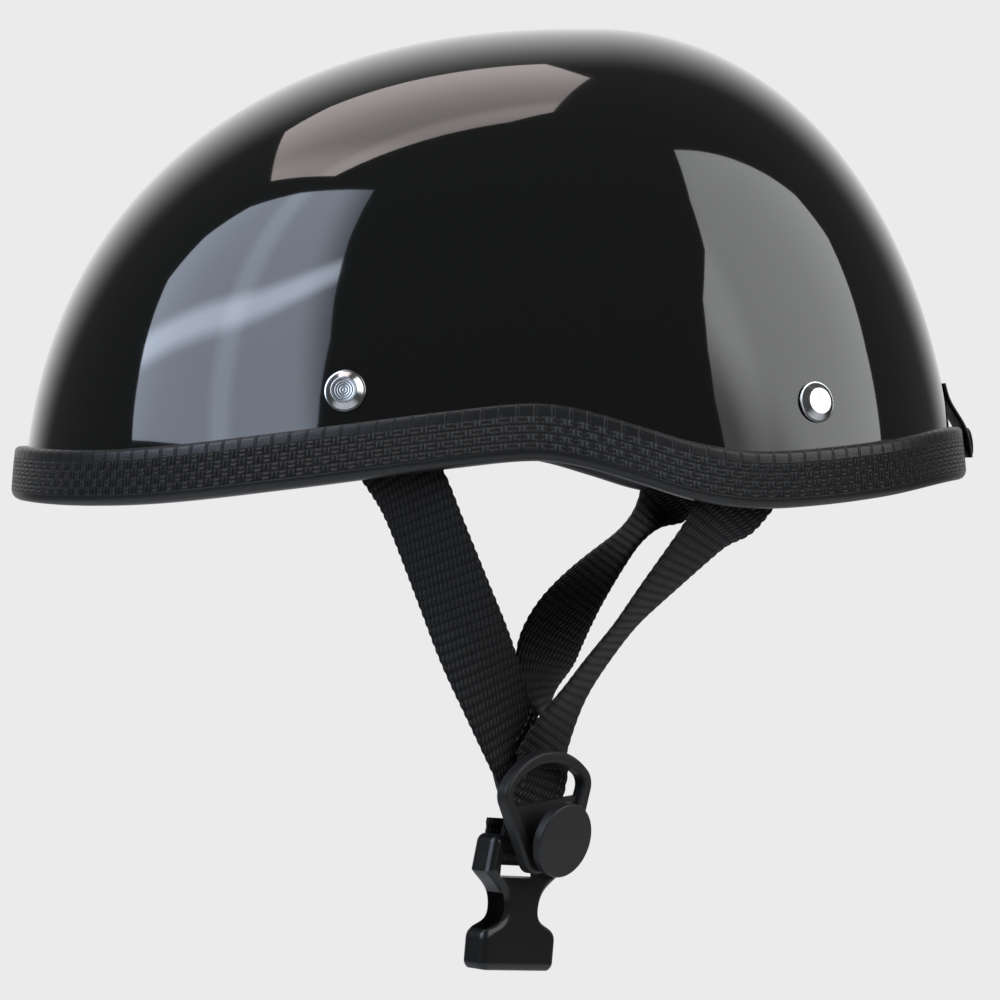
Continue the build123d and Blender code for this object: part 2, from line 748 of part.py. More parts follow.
def buckle_plug(plane):
    """Body of the male half: its webbing slot, bar and guide tongue."""
    half, top = buckle_width / 2, bar_height / 2 + slot_play + leg_level
    low = top - plug_height
    slot = webbing_width / 2 + slot_play
    with BuildPart() as plug:
        with BuildSketch() as outline:
            with Locations((0, top)):
                Rectangle(buckle_width, plug_height, align=(Align.CENTER, Align.MAX))
            fillet(outline.vertices(), buckle_round)
        extrude(amount=plug_thickness / 2, both=True)
        fillet(plug.edges().group_by(Axis.Z)[0] + plug.edges().group_by(Axis.Z)[-1], buckle_round / 2)
        with BuildSketch():
            with Locations((0, low + buckle_wall + bar_height / 2)):
                Rectangle(2 * slot, plug_height, align=(Align.CENTER, Align.MIN))
        extrude(amount=buckle_thickness, both=True, mode=Mode.SUBTRACT)
        with BuildSketch(Plane.YZ.offset(-slot - buckle_wall / 2)):
            RectangleRounded(bar_height, bar_thickness, bar_round)
        extrude(amount=2 * slot + buckle_wall)
        with BuildSketch() as tongue:
            with Locations((0, low + buckle_round)):
                Rectangle(guide_width, guide_length + buckle_round, align=(Align.CENTER, Align.MAX))
            fillet(tongue.vertices().group_by(Axis.Y)[0], guide_width / 4)
        extrude(amount=guide_thickness / 2, both=True)
    return plug.part.moved(plane.location)


def plug_prong(plane, hand):
    """Springy prong of the plug with its barbed head, on one side of the guide."""
    half, top = buckle_width / 2 - buckle_wall - slot_play, bar_height / 2 + slot_play + leg_level
    root = top - plug_height - prong_play
    barb, tip = root - prong_length + prong_head, root - prong_length
    inner = half - prong_width
    with BuildPart() as prong:
        with BuildSketch() as outline:
            with BuildLine():
                Polyline(
                    (hand * inner, root), (hand * (half - prong_play), root), (hand * (half - prong_play), barb),
                    (hand * (half + buckle_wall), barb), (hand * (half + buckle_wall), barb - prong_width / 2),
                    (hand * (inner + prong_width / 3), tip), (hand * (inner - prong_play), tip),
                    (hand * (inner - prong_play), barb), close=True,
                )
            make_face()
        extrude(amount=prong_thickness / 2, both=True)
    return prong.part.moved(plane.location)


past_swing_line = above_hinge(0)


def side_harness(hand, side, turn, ring_tip, buckle_tip, front_slant, rear_slant, front_ply, rear_ply):
    """Pieces of one side's harness, named and exported; returns the buckle's plane."""
    out = Vector(-sin(radians(turn)), side * cos(radians(turn)), 0)
    middle_y = (exit_point(front_exit_x, side).Y + exit_point(rear_exit_x, side).Y) / 2
    centre = Vector(ring_x, middle_y, ring_z)
    ring_plane = Plane(centre, x_dir=Vector(0, 0, 1).cross(out), z_dir=out)
    seam = ring_height * seam_share
    down = Vector(-sin(radians(buckle_tip)), -cos(radians(buckle_tip)), 0)
    bar = at(ring_plane, 0, seam, buckle_level)
    bar = bar + (ring_plane.x_dir * down.X + ring_plane.y_dir * down.Y) * (seam + buckle_drop)
    buckle_plane = tipped(Plane(bar, x_dir=ring_plane.x_dir, z_dir=out), -buckle_tip)
    front_leg = buckle_level + leg_level

    tipped_ring = tipped(ring_plane, ring_tip)
    stud = Location(tipped_ring) * Location((0, -button_drop, 0))
    back = Location((0, 0, front_leg - webbing / 2 - fit_gap))
    loop = webbing_loop(buckle_plane, seam + buckle_drop, loop_tail[hand])
    swing_line = (exit_point(front_exit_x, side) - exit_point(rear_exit_x, side)).normalized()
    pieces = {
        "strap_ring": strap_ring(tipped_ring),
        "ring_button": ring_button(tipped_ring),
        "button_washer": flat_washer(back_washer_size, stud_size + fit_gap, back_washer).moved(stud * back),
        "chin_loop": loop - Cylinder(stud_size / 2 + fit_gap, buckle_thickness * 2).moved(stud),
    }
    for end, x, slant, ply in (
        ("front", front_exit_x, front_slant, front_ply),
        ("rear", rear_exit_x, rear_slant, rear_ply),
    ):
        way = strap_ways[end].normalized()
        across = Vector(0, 1, 0).cross(way)
        start = exit_point(x, side) - way * webbing_width / 2
        last = at(ring_plane, 0, seam - ring_bar, front_leg - ply * (webbing + ply_gap))
        last_way = ring_plane.x_dir * sin(radians(slant)) - ring_plane.y_dir * cos(radians(slant))
        last_across = last_way.cross(out)
        if last_across.dot(across) < 0:
            last_across = -last_across
        ribbon = strap(start, way, across, last, last_way, last_across)
        knuckle = Plane(exit_point(x, side), z_dir=swing_line) * Cylinder(
            webbing / 2, webbing_width / abs(swing_line.cross(way).length) - webbing
        )
        pieces[f"{end}_strap"] = ribbon.part - past_swing_line + knuckle
    for name, piece in pieces.items():
        piece.label = f"{name}_{hand}"
        export_step(piece, f"parts/{name}_{hand}.step")
    return buckle_plane


left_buckle = side_harness("left", 1, left_turn, ring_lean, buckle_lean, 25, -28, 2, 1)
socket = buckle_socket(left_buckle)
socket.label = "buckle_socket"
export_step(socket, "parts/buckle_socket.step")

right_buckle = side_harness("right", -1, right_turn, 0, 0, 0, 0, 1, 2)
plug = buckle_plug(right_buckle)
plug.label = "buckle_plug"
export_step(plug, "parts/buckle_plug.step")
for hand, name in ((1, "plug_prong_inner"), (-1, "plug_prong_outer")):
    prong = plug_prong(right_buckle, hand)
    prong.label = name
    export_step(prong, f"parts/{name}.step")
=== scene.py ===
from math import ceil, cos, pi, radians, sin, sqrt, tan

import bmesh
import bpy
from bpy.props import FloatProperty, FloatVectorProperty, IntProperty, PointerProperty
from bpy.types import Operator, Panel, PropertyGroup
from mathutils import Matrix, Vector


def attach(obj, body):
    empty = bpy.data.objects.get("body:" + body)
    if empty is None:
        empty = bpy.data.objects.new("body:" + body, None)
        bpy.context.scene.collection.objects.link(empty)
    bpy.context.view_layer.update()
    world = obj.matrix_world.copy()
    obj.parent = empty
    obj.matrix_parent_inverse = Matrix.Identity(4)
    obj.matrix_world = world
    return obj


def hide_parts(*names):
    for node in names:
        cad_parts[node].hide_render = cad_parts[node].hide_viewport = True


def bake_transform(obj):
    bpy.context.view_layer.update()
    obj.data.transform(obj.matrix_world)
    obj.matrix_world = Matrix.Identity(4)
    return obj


bl_info = {
    "name": "Half Shell Helmet",
    "version": (1, 0, 0),
    "blender": (4, 5, 0),
    "location": "View3D > Sidebar > Helmet",
    "description": "Dresses the packed frame of a half shell motorcycle helmet",
    "category": "Add Mesh",
}

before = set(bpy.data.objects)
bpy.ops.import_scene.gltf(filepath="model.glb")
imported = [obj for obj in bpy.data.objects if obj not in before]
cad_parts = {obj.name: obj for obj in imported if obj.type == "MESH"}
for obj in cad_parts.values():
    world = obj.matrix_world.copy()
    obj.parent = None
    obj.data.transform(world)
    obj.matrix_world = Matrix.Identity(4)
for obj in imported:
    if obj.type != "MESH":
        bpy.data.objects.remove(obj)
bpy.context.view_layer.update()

# Dome of the shell, in metres, from its centre
FRONT_REACH, REAR_REACH = 0.168, 0.108
HALF_WIDTH, DOME_HEIGHT = 0.106, 0.152
DOME_X, DOME_Z = -0.030, -0.0115
FRONT_POWERS, REAR_POWERS, SECTION_POWER = (2.45, 2.3), (2.1, 2.1), 2.15
SHELL_WALL = 0.0035
HALF_LENGTH = (FRONT_REACH + REAR_REACH) / 2

# Rim line in side view, as shares of the half length and of the ear arch's rise
ARCH_RISE = 0.013
RIM_SHARES = [
    (-1.16, 0.80), (-0.91, 0.48), (-0.76, 0.22), (-0.59, 0.04), (-0.48, 0.02), (-0.37, 0.20),
    (-0.26, 0.55), (-0.15, 0.88), (-0.06, 1.00), (0.09, 0.86), (0.43, 0.40), (0.68, 0.10),
    (0.85, 0.03), (1.16, 0.14),
]
SHELL_FOOT = 0.0032

# Edge trim
TRIM_HEIGHT, TRIM_OUT, TRIM_INNER = 0.0155, 0.0036, 0.005
TRIM_FOOT_ROUND, TRIM_LIP_ROUND = 0.003, 0.0014

# Layers inside the shell, as insets of the dome surface
TAB_UPPER, TAB_LOWER = 0.0038, 0.0053
PAD_OUTER, PAD_INNER = 0.0141, 0.0206

# Webbing: width, thickness, spacing of plies and depth of the teeth at its edges
WEBBING_WIDTH, WEBBING, PLY, TOOTH = 0.020, 0.0015, 0.00225, 0.00035

# Rivets as x and height, their washers, and where and how the straps leave the rim
RIVETS = {"front": (0.0422, 0.0318), "rear": (-0.0860, 0.0290)}
WASHER_SIZE, WASHER_BORE, WASHER, WASHER_GAP = 0.0096, 0.0043, 0.001, 0.0006
EXITS = {"front": 0.0242, "rear": -0.0587}
EXIT_DROP, EXIT_CLEARANCE, TAB_PAST_RIVET = 0.004, 0.0008, 0.011
STRAP_WAYS = {"front": Vector((-0.366, 0, -0.93)), "rear": Vector((0.62, 0, -0.785))}
BEND_REACH, STRAP_STEPS = 0.004, 60

# Strap ring, buckle and chin loops
RING_CENTRE = (-0.012, -0.0815)
RING_HEIGHT, RING_THICKNESS, RING_BAR = 0.0326, 0.0036, 0.0033
SEAM_SHARE, BUCKLE_DROP = 0.43, 0.012
BUCKLE_THICKNESS, BUCKLE_GAP = 0.0086, 0.0017
LEG_LEVEL = 0.00275
LOOP_TAILS = {"left": 0.009, "right": 0.022}
LOOP_SHIFTS = {"left": 0.0045, "right": 0.0}

# Stitches: the box sewn in each loop, and the double row across the straps, as steps back from a strap's
# end and offset across it
STITCH, STITCH_PITCH, THREAD = 0.0014, 0.0021, 0.00055
BOX_HALF, BOX_LOW, BOX_HIGH = 0.0072, 0.013, 0.0235
ROW_GAP, ROW_PLACES = 0.0022, ((8, 0.0094), (6, 0.005), (5, 0.0004))

# Each side: its sign on Y, turn of its ring, tip of its buckle, and each strap's slant and ply at the seam
SIDES = {
    "left": {"sign": 1, "turn": 44, "tip": 7, "slants": {"front": 25, "rear": -28},
             "plies": {"front": 2, "rear": 1}},
    "right": {"sign": -1, "turn": -80, "tip": 0, "slants": {"front": 0, "rear": 0},
              "plies": {"front": 1, "rear": 2}},
}

# How each strap hangs: turn about its length at five stations, forward bow, and shift across the ring
HANGS = {
    "front_left": ((5, 20, 25, 5, 0), 0.0017, 0.0007),
    "rear_left": ((-40, -52, -58, -41, -2), 0.0005, 0.0044),
    "front_right": ((-38, -62, -48, -38, 0), 0.014, 0.003),
    "rear_right": ((40, 80, 72, 60, 0), 0.009, 0.003),
}

# Goggle strap at the back
GOGGLE_WIDTH, GOGGLE_THICKNESS = 0.020, 0.0013
GOGGLE_TOP, GOGGLE_HINGE, GOGGLE_LOW, SNAP_HEIGHT = 0.0355, 0.0305, 0.0135, 0.0175
GOGGLE_STAND_OFF, GOGGLE_LIP_GAP = 0.0015, 0.0009


# Shape of the dome and of the rim


def dome_value(point, inset=0.0):
    """Below one inside the dome surface drawn in by inset, above one outside it."""
    across = abs(point.y) / (HALF_WIDTH - inset)
    if across >= 1:
        return 1 + across
    along = point.x - DOME_X
    reach, (plan, side) = (FRONT_REACH, FRONT_POWERS) if along > 0 else (REAR_REACH, REAR_POWERS)
    spread = (reach - inset) * (1 - across**plan) ** (1 / plan)
    rise = (DOME_HEIGHT - inset) * (1 - across**SECTION_POWER) ** (1 / SECTION_POWER)
    above = max(point.z - DOME_Z, 0)
    return (abs(along) / spread) ** side + (above / rise) ** side


def dome_hit(start, direction, inset=0.0):
    """Point where a ray from inside the dome meets its surface."""
    near, far = 0.0, FRONT_REACH + HALF_WIDTH
    for _ in range(32):
        middle = (near + far) / 2
        if dome_value(start + direction * middle, inset) < 1:
            near = middle
        else:
            far = middle
    return start + direction * near


def dome_normal(point, inset=0.0):
    """Outward normal of the dome near a point."""
    probe = 0.00005
    steps = (Vector((probe, 0, 0)), Vector((0, probe, 0)), Vector((0, 0, probe)))
    slopes = [dome_value(point + step, inset) - dome_value(point - step, inset) for step in steps]
    return Vector(slopes).normalized()


def wall_point(x, z, side, inset=0.0):
    """Point of the dome's side wall, side is 1 on the left and -1 on the right."""
    return dome_hit(Vector((x, 0, z)), Vector((0, side, 0)), inset)


def rear_point(z, inset=0.0):
    """Point of the dome at the middle of its back."""
    return dome_hit(Vector((DOME_X, 0, z)), Vector((-1, 0, 0)), inset)


def rim_height(x):
    """Height of the rim line at x, on a smooth curve through its points."""
    line = [(along * HALF_LENGTH, rise * ARCH_RISE) for along, rise in RIM_SHARES]
    index = next((i for i in range(1, len(line) - 2) if x < line[i + 1][0]), len(line) - 3)
    index = max(index, 1)
    (x0, z0), (x1, z1), (x2, z2), (x3, z3) = line[index - 1:index + 3]
    share = (x - x1) / (x2 - x1)
    start = (z2 - z0) / (x2 - x0) * (x2 - x1)
    end = (z3 - z1) / (x3 - x1) * (x2 - x1)
    square, cube = share**2, share**3
    rise = (2 * cube - 3 * square + 1) * z1 + (cube - 2 * square + share) * start
    return rise + (3 * square - 2 * cube) * z2 + (cube - square) * end


# Meshes


def new_object(name, mesh, slot, finish, body, *nodes):
    """Adds a piece with its finish, on its body, in place of the named nodes."""
    piece = bpy.data.objects.new(name, mesh)
    bpy.context.scene.collection.objects.link(piece)
    piece.data.materials.clear()
    piece.data.materials.append(finish)
    if nodes:
        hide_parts(*nodes)
    if body:
        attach(piece, body)
    return piece


def finished_mesh(name, work):
    """Mesh data made from a working mesh."""
    data = bpy.data.meshes.new(name)
    work.to_mesh(data)
    work.free()
    return data


def grid_mesh(name, rows, charts, wrap=False, close=False):
    """Mesh of quads through rows of points, with a chart position for each point."""
    mesh = bmesh.new()
    chart = mesh.loops.layers.uv.new("chart")
    points = [[mesh.verts.new(point) for point in row] for row in rows]
    count, width = len(rows), len(rows[0])
    for i in range(count if close else count - 1):
        for j in range(width if wrap else width - 1):
            i2, j2 = (i + 1) % count, (j + 1) % width
            corners = [points[i][j], points[i2][j], points[i2][j2], points[i][j2]]
            places = [charts(i, j), charts(i + 1, j), charts(i + 1, j + 1), charts(i, j + 1)]
            face = mesh.faces.new(corners)
            face.smooth = True
            for loop, place in zip(face.loops, places):
                loop[chart].uv = place
    bmesh.ops.recalc_face_normals(mesh, faces=mesh.faces)
    return finished_mesh(name, mesh)


def capped(mesh, loops):
    """Fills the open end loops of a grid mesh with faces."""
    work = bmesh.new()
    work.from_mesh(mesh)
    work.verts.ensure_lookup_table()
    for loop in loops:
        work.faces.new([work.verts[index] for index in loop])
    bmesh.ops.recalc_face_normals(work, faces=work.faces)
    work.to_mesh(mesh)
    work.free()
    return mesh


def turned_mesh(name, profile, place, segments=96):
    """Turned form from its half profile of radii and heights, set on a placing matrix."""
    rows = []
    for radius, height in profile:
        turns = [2 * pi * index / segments for index in range(segments)]
        rows.append([place @ Vector((radius * cos(turn), radius * sin(turn), height)) for turn in turns])
    lengths = [0.0]
    for (r0, h0), (r1, h1) in zip(profile, profile[1:]):
        lengths.append(lengths[-1] + sqrt((r1 - r0) ** 2 + (h1 - h0) ** 2))
    return grid_mesh(name, rows, lambda i, j: (j / segments, lengths[min(i, len(lengths) - 1)]), wrap=True)


def rounded(corners, radii, steps=6):
    """Outline through corners, each rounded by its radius; corners and result are 2D."""
    outline = []
    count = len(corners)
    for index, (corner, radius) in enumerate(zip(corners, radii)):
        corner = Vector(corner)
        before = (Vector(corners[index - 1]) - corner).normalized()
        after = (Vector(corners[(index + 1) % count]) - corner).normalized()
        if radius <= 0:
            outline.append(corner)
            continue
        half = before.angle(after) / 2
        setback = radius / tan(half)
        centre = corner + (before + after).normalized() * radius / sin(half)
        start, end = corner + before * setback - centre, corner + after * setback - centre
        sweep = start.angle(end)
        for step in range(steps + 1):
            share = step / steps
            ray = (start * sin((1 - share) * sweep) + end * sin(share * sweep)) / sin(sweep)
            outline.append(centre + ray)
    return outline


def placing(origin, across, out):
    """Matrix whose X axis runs across, whose Z axis points out, and whose origin is given."""
    across, out = Vector(across).normalized(), Vector(out).normalized()
    up = out.cross(across)
    matrix = Matrix((across, up, out)).transposed().to_4x4()
    matrix.translation = origin
    return matrix


def wall_placing(point):
    """Placing on the dome surface, Z pointing out of the shell and X level."""
    out = dome_normal(point)
    return placing(point, Vector((0, 0, 1)).cross(out), out)


# Shader maths


class Wire:
    """Output of a shader node, with maths written as Python expressions."""

    def __init__(self, finish, socket):
        self.finish, self.socket = finish, socket

    def maths(self, operation, *others, **settings):
        """Value of a maths operation on this and other values."""
        values = dict(enumerate((self, *others)))
        return self.finish.add("ShaderNodeMath", {"operation": operation, **settings}, values)

    def __add__(self, other):
        return self.maths("ADD", other)

    def __radd__(self, other):
        return self.maths("ADD", other)

    def __sub__(self, other):
        return self.maths("SUBTRACT", other)

    def __rsub__(self, other):
        return self.finish.add("ShaderNodeMath", {"operation": "SUBTRACT"}, {0: other, 1: self})

    def __mul__(self, other):
        return self.maths("MULTIPLY", other)

    def __rmul__(self, other):
        return self.maths("MULTIPLY", other)

    def __truediv__(self, other):
        return self.maths("DIVIDE", other)

    def __pow__(self, other):
        return self.maths("POWER", other)

    def __mod__(self, other):
        return self.maths("FLOORED_MODULO", other)

    def __abs__(self):
        return self.maths("ABSOLUTE")

    def whole(self):
        """Value rounded down."""
        return self.maths("FLOOR")

    def wave(self):
        """Sine of the value."""
        return self.maths("SINE")

    def limited(self):
        """Value held between nought and one."""
        return self.maths("ADD", 0.0, use_clamp=True)

    def ramp(self, low, high, start=0.0, end=1.0):
        """Smooth step from start to end as the value goes from low to high."""
        sockets = {"Value": self, "From Min": low, "From Max": high, "To Min": start, "To Max": end}
        return self.finish.add("ShaderNodeMapRange", {"interpolation_type": "SMOOTHSTEP"}, sockets)


class Finish:
    """Material of one finish, built on a single Principled shader."""

    def __init__(self, name, **uniform):
        self.material = bpy.data.materials.new(name)
        self.material.use_nodes = True
        self.tree = self.material.node_tree
        self.shader = self.tree.nodes["Principled BSDF"]
        for label, value in uniform.items():
            self.shader.inputs[label.replace("_", " ").title().replace("Ior", "IOR")].default_value = value

    def add(self, kind, settings=None, sockets=None, output=0):
        """Adds a node: its settings first, then the values or links of its sockets."""
        node = self.tree.nodes.new(kind)
        for label, value in (settings or {}).items():
            if label == "stops":
                node.color_ramp.elements[0].position, node.color_ramp.elements[0].color = value[0]
                node.color_ramp.elements[1].position, node.color_ramp.elements[1].color = value[-1]
                for position, colour in value[1:-1]:
                    node.color_ramp.elements.new(position).color = colour
            else:
                setattr(node, label, value)
        for label, value in (sockets or {}).items():
            self.join(value, node.inputs[label])
        return Wire(self, node.outputs[output])

    def join(self, value, socket):
        """Links a wire to a socket, or sets the socket's own value."""
        if isinstance(value, Wire):
            self.tree.links.new(value.socket, socket)
        else:
            socket.default_value = value

    def feed(self, label, value):
        """Feeds one input of the finish's shader."""
        self.join(value, self.shader.inputs[label])

    def chart(self):
        """The two chart coordinates of a made piece, in millimetres."""
        chart = self.add("ShaderNodeUVMap", {"uv_map": "chart"})
        across = self.add("ShaderNodeSeparateXYZ", None, {0: chart}, 0)
        along = self.add("ShaderNodeSeparateXYZ", None, {0: chart}, 1)
        return across * 1000, along * 1000

    def place(self):
        """Position in the helmet, in metres."""
        return self.add("ShaderNodeTexCoord", None, None, 3)

    def noise(self, scale, detail=2.0, rough=0.5, at=None):
        """Even noise of a given scale per metre."""
        sockets = {"Vector": at or self.place(), "Scale": scale, "Detail": detail, "Roughness": rough}
        return self.add("ShaderNodeTexNoise", None, sockets)

    def mix(self, factor, first, second):
        """Colour between two colours."""
        settings = {"data_type": "RGBA"}
        return self.add("ShaderNodeMix", settings, {0: factor, 6: first, 7: second}, 2)

    def surface(self, factor, first, second, roughness):
        """Feeds a colour between two colours, and a roughness held between nought and one."""
        self.feed("Base Color", self.mix(factor, first, second))
        self.feed("Roughness", roughness.limited())

    def bump(self, height, distance):
        """Relief from a height between nought and one, in metres."""
        sockets = {"Height": height, "Distance": distance, "Strength": 1.0}
        self.feed("Normal", self.add("ShaderNodeBump", None, sockets))


def grey(level, tint=(1.0, 1.0, 1.0)):
    """Opaque colour of one level, with a slight tint."""
    return (level * tint[0], level * tint[1], level * tint[2], 1.0)


# Finishes


def gloss_black(settings):
    """Deep black lacquer with a faint ripple."""
    finish = Finish(
        "gloss_black", roughness=0.05, ior=1.5, coat_weight=1.0, coat_roughness=0.012, coat_ior=1.5,
    )
    finish.feed("Base Color", (*settings.colour, 1.0))
    finish.bump(finish.noise(90, 1.0), settings.ripple)
    return finish.material


def woven_rubber(settings):
    """Matt rubber with a moulded basket weave between a ticked band and a plain rounded foot, its colour
    following the relief: painted shade in the grooves and ticks, painted highlight on the rib tops.
    """
    finish = Finish("woven_rubber", ior=1.5)
    along, down = finish.chart()
    column, row = settings.weave_cell[0] * 1000, settings.weave_cell[1] * 1000
    start, end = settings.band * 1000, settings.band * 1000 + 4 * row
    a, b = along / column, (down - start) / row
    checker = (a.whole() + b.whole()) % 2
    a, b = a % 1, b % 1
    flat_ridges = abs((b * 2 * pi).wave()) * (1 - abs(a * 2 - 1) ** 6)
    tall_ridges = abs((a * 2 * pi).wave()) * (1 - abs(b * 2 - 1) ** 6)
    weave = flat_ridges * checker + tall_ridges * (1 - checker) * 0.8
    zone = down.ramp(start - 0.15, start + 0.15) * down.ramp(end - 0.15, end + 0.15, 1.0, 0.0)
    tick = abs(along / (2 * column) % 1 - 0.5).ramp(0.04, 0.11, 1.0, 0.0) * down.ramp(1.5, 3.2)
    band = tick * down.ramp(start - 0.2, start + 0.1, 1.0, 0.0)
    grain = finish.noise(2600, 2.0)
    height = weave * zone + 0.75 * (1 - zone) - band * 0.6 + grain * 0.1
    # Painted shade and highlight: the colour darkens with the relief into the grooves and ticks and is
    # lighter on the rib tops.
    tone = (height * 0.9 + finish.noise(120, 3.0) * 0.2).limited()
    finish.surface(tone, grey(0.004), (*settings.colour, 1.0), 0.5 - tone * 0.24)
    finish.bump(height, settings.relief)
    return finish.material


def webbing_nylon(settings):
    """Black nylon webbing: rows of short slanted floats across the width, with a painted sheen on the float
    tops and painted shade in the gaps between them.
    """
    finish = Finish("webbing_nylon", ior=1.5, specular_ior_level=0.32)
    across, along = finish.chart()
    column, row = settings.float_pitch * 1000, settings.row_pitch * 1000
    rows = along / row
    shift = rows.whole() % 2 * 0.5
    lean = (rows % 1 - 0.5) * settings.float_slant
    a = (across / column + shift + lean) % 1 - 0.5
    b = rows % 1 - 0.5
    floats = (1 - (a / 0.42) ** 2 - (b / 0.47) ** 2).limited() ** 0.5
    wear = finish.noise(900, 3.0)
    height = floats * (0.75 + wear * 0.5)
    # Painted sheen and shade: the float tops are coloured lighter and the gaps between them darker.
    finish.surface((height * 0.9).limited(), grey(0.006), (*settings.colour, 1.0), 0.72 - height * 0.28)
    finish.bump(height, settings.relief)
    return finish.material


def thread(settings):
    """Black sewing thread."""
    finish = Finish("thread", ior=1.5)
    twist = finish.noise(4000, 2.0)
    pale = (*[level * 3.5 for level in settings.colour], 1.0)
    finish.surface(twist, (*settings.colour, 1.0), pale, 0.4 + twist * 0.2)
    return finish.material


def moulded_plastic(name, colour, roughness, grain):
    """Moulded black plastic with a fine spark-eroded grain."""
    finish = Finish(name, ior=1.5)
    speckle = finish.noise(3200, 3.0, 0.6)
    tone = finish.noise(70, 2.0)
    finish.surface(tone, grey(colour[0] * 0.8), (*colour, 1.0), speckle * 0.14 + (roughness - 0.07))
    finish.bump(speckle, grain)
    return finish.material


def polished_chrome(settings):
    """Chromed steel with faint turning marks and tarnish."""
    finish = Finish("polished_chrome", metallic=1.0)
    tone = finish.noise(500, 3.0)
    finish.surface(
        tone, grey(0.52, (0.97, 1.0, 1.03)), (*settings.chrome, 1.0),
        0.12 + finish.noise(1500, 3.0) * 0.18,
    )
    _, along = finish.chart()
    rings = (along * 2 * pi / 0.7).wave() * along.ramp(2.6, 3.2, 1.0, 0.0)
    finish.bump(finish.noise(900, 2.0) * 0.3 + rings * 0.5, 0.00002)
    return finish.material


def worn_metal(name, scale, dark, colour, smoothest):
    """Plain metal with an uneven tone, for the washers and the blackened snap."""
    finish = Finish(name, metallic=1.0)
    tone = finish.noise(scale, 4.0)
    finish.surface(tone, grey(dark), (*colour, 1.0), smoothest + tone * 0.2)
    return finish.material


def plain_steel(settings):
    """Zinc-plated washers."""
    return worn_metal("plain_steel", 700, 0.35, settings.steel, 0.28)


def moulded_foam(settings):
    """Dark moulded foam with a beaded surface, with painted shade in the crevices between the beads."""
    finish = Finish("moulded_foam", ior=1.45)
    sockets = {"Vector": finish.place(), "Scale": 380.0}
    beads = finish.add("ShaderNodeTexVoronoi", {"feature": "SMOOTH_F1"}, sockets)
    tone = (beads * 1.4).limited()
    # Painted shade: the colour darkens from the middle of each bead towards the crevices between them.
    finish.surface(tone, (*settings.foam, 1.0), grey(settings.foam[0] * 0.4), 0.86 + tone * 0.1)
    finish.bump(1 - tone, 0.00025)
    return finish.material


def brushed_cloth(settings):
    """Fine knitted cloth of the comfort pads, with painted shade in the grooves of the knit."""
    finish = Finish("brushed_cloth", ior=1.4, sheen_weight=0.35, sheen_roughness=0.4)
    across, along = finish.chart()
    pitch = settings.knit_pitch * 1000
    ribs = abs((across / pitch * pi).wave())
    loops = abs(((along / pitch + (across / pitch).whole() * 0.5) * pi).wave())
    fuzz = finish.noise(1800, 3.0)
    height = ribs * 0.6 + loops * 0.4 + fuzz * 0.4
    # Painted shade: the colour darkens with the relief into the knit's grooves and is lighter on its ribs.
    finish.surface((height * 0.7).limited(), grey(0.006), (*settings.cloth, 1.0), 0.82 + fuzz * 0.12)
    finish.bump(height, 0.00018)
    return finish.material


def strap_leather(settings):
    """Smooth black synthetic leather with a fine grain and slightly worn edges."""
    finish = Finish("strap_leather", ior=1.5)
    across, _ = finish.chart()
    sockets = {"Vector": finish.place(), "Scale": 1500.0}
    pebbles = finish.add("ShaderNodeTexVoronoi", {"feature": "SMOOTH_F1"}, sockets)
    edge = abs(across).ramp(8.8, 9.9)
    finish.surface(edge * 0.6, (*settings.leather, 1.0), grey(0.05), 0.42 + pebbles * 0.2)
    finish.bump(pebbles, 0.00006)
    return finish.material


def softbox_cloth(name, settings, tint, shades, streaks):
    """Glowing cloth of a softbox, shaded across its plane and crossed by brighter streaks."""
    finish = Finish(name, roughness=1.0, emission_strength=settings.softbox)
    finish.shader.inputs["Base Color"].default_value = grey(0.0)
    across, up = finish.chart()
    across, up = across / 1000, up / 1000
    level = finish.noise(1.1, 1.0) * 0.12 + 0.94
    for heading, start, end, low in shades:
        reach = across * cos(radians(heading)) + up * sin(radians(heading))
        level = level * reach.ramp(start, end, 1.0, low)
    for heading, offset, bend, width, gain in streaks:
        reach = across * cos(radians(heading)) + up * sin(radians(heading)) - offset
        reach = reach - across.maths("MAXIMUM", 0.0) ** 2 * bend
        level = level + (abs(reach) / width).ramp(0.15, 1.0, gain, 0.0)
    glow = finish.mix((level / 3).limited(), grey(0.0), (*[part * 3 for part in tint], 1.0))
    finish.feed("Emission Color", glow)
    return finish.material


# Pieces


def tinted(name, description, *colour):
    """Setting for a colour."""
    return FloatVectorProperty(
        name=name, description=description, subtype="COLOR", default=colour, min=0, max=1,
    )


def measured(name, description, default, **limits):
    """Setting for a length in metres."""
    return FloatProperty(name=name, description=description, subtype="DISTANCE", default=default, **limits)


class HELMET_shell_settings(PropertyGroup):
    colour: tinted("Lacquer", "Colour of the shell's lacquer", 0.0062, 0.0066, 0.0064)
    ripple: measured("Ripple", "Depth of the faint ripple in the lacquer", 0.000004, min=0, precision=6)
    stations: IntProperty(name="Stations", description="Steps round the shell", default=240, min=48)
    rows: IntProperty(name="Rows", description="Steps from the rim to the crown", default=56, min=12)


class HELMET_trim_settings(PropertyGroup):
    colour: tinted("Rubber", "Colour of the edge trim", 0.024, 0.024, 0.024)
    weave_cell: FloatVectorProperty(
        name="Weave cell", description="Length and height of one cell of the basket weave", size=2,
        subtype="XYZ_LENGTH", default=(0.0024, 0.00235),
    )
    band: measured("Band", "Height of the plain ticked band along the top", 0.006, min=0)
    relief: measured("Relief", "Depth of the basket weave", 0.0009, min=0)


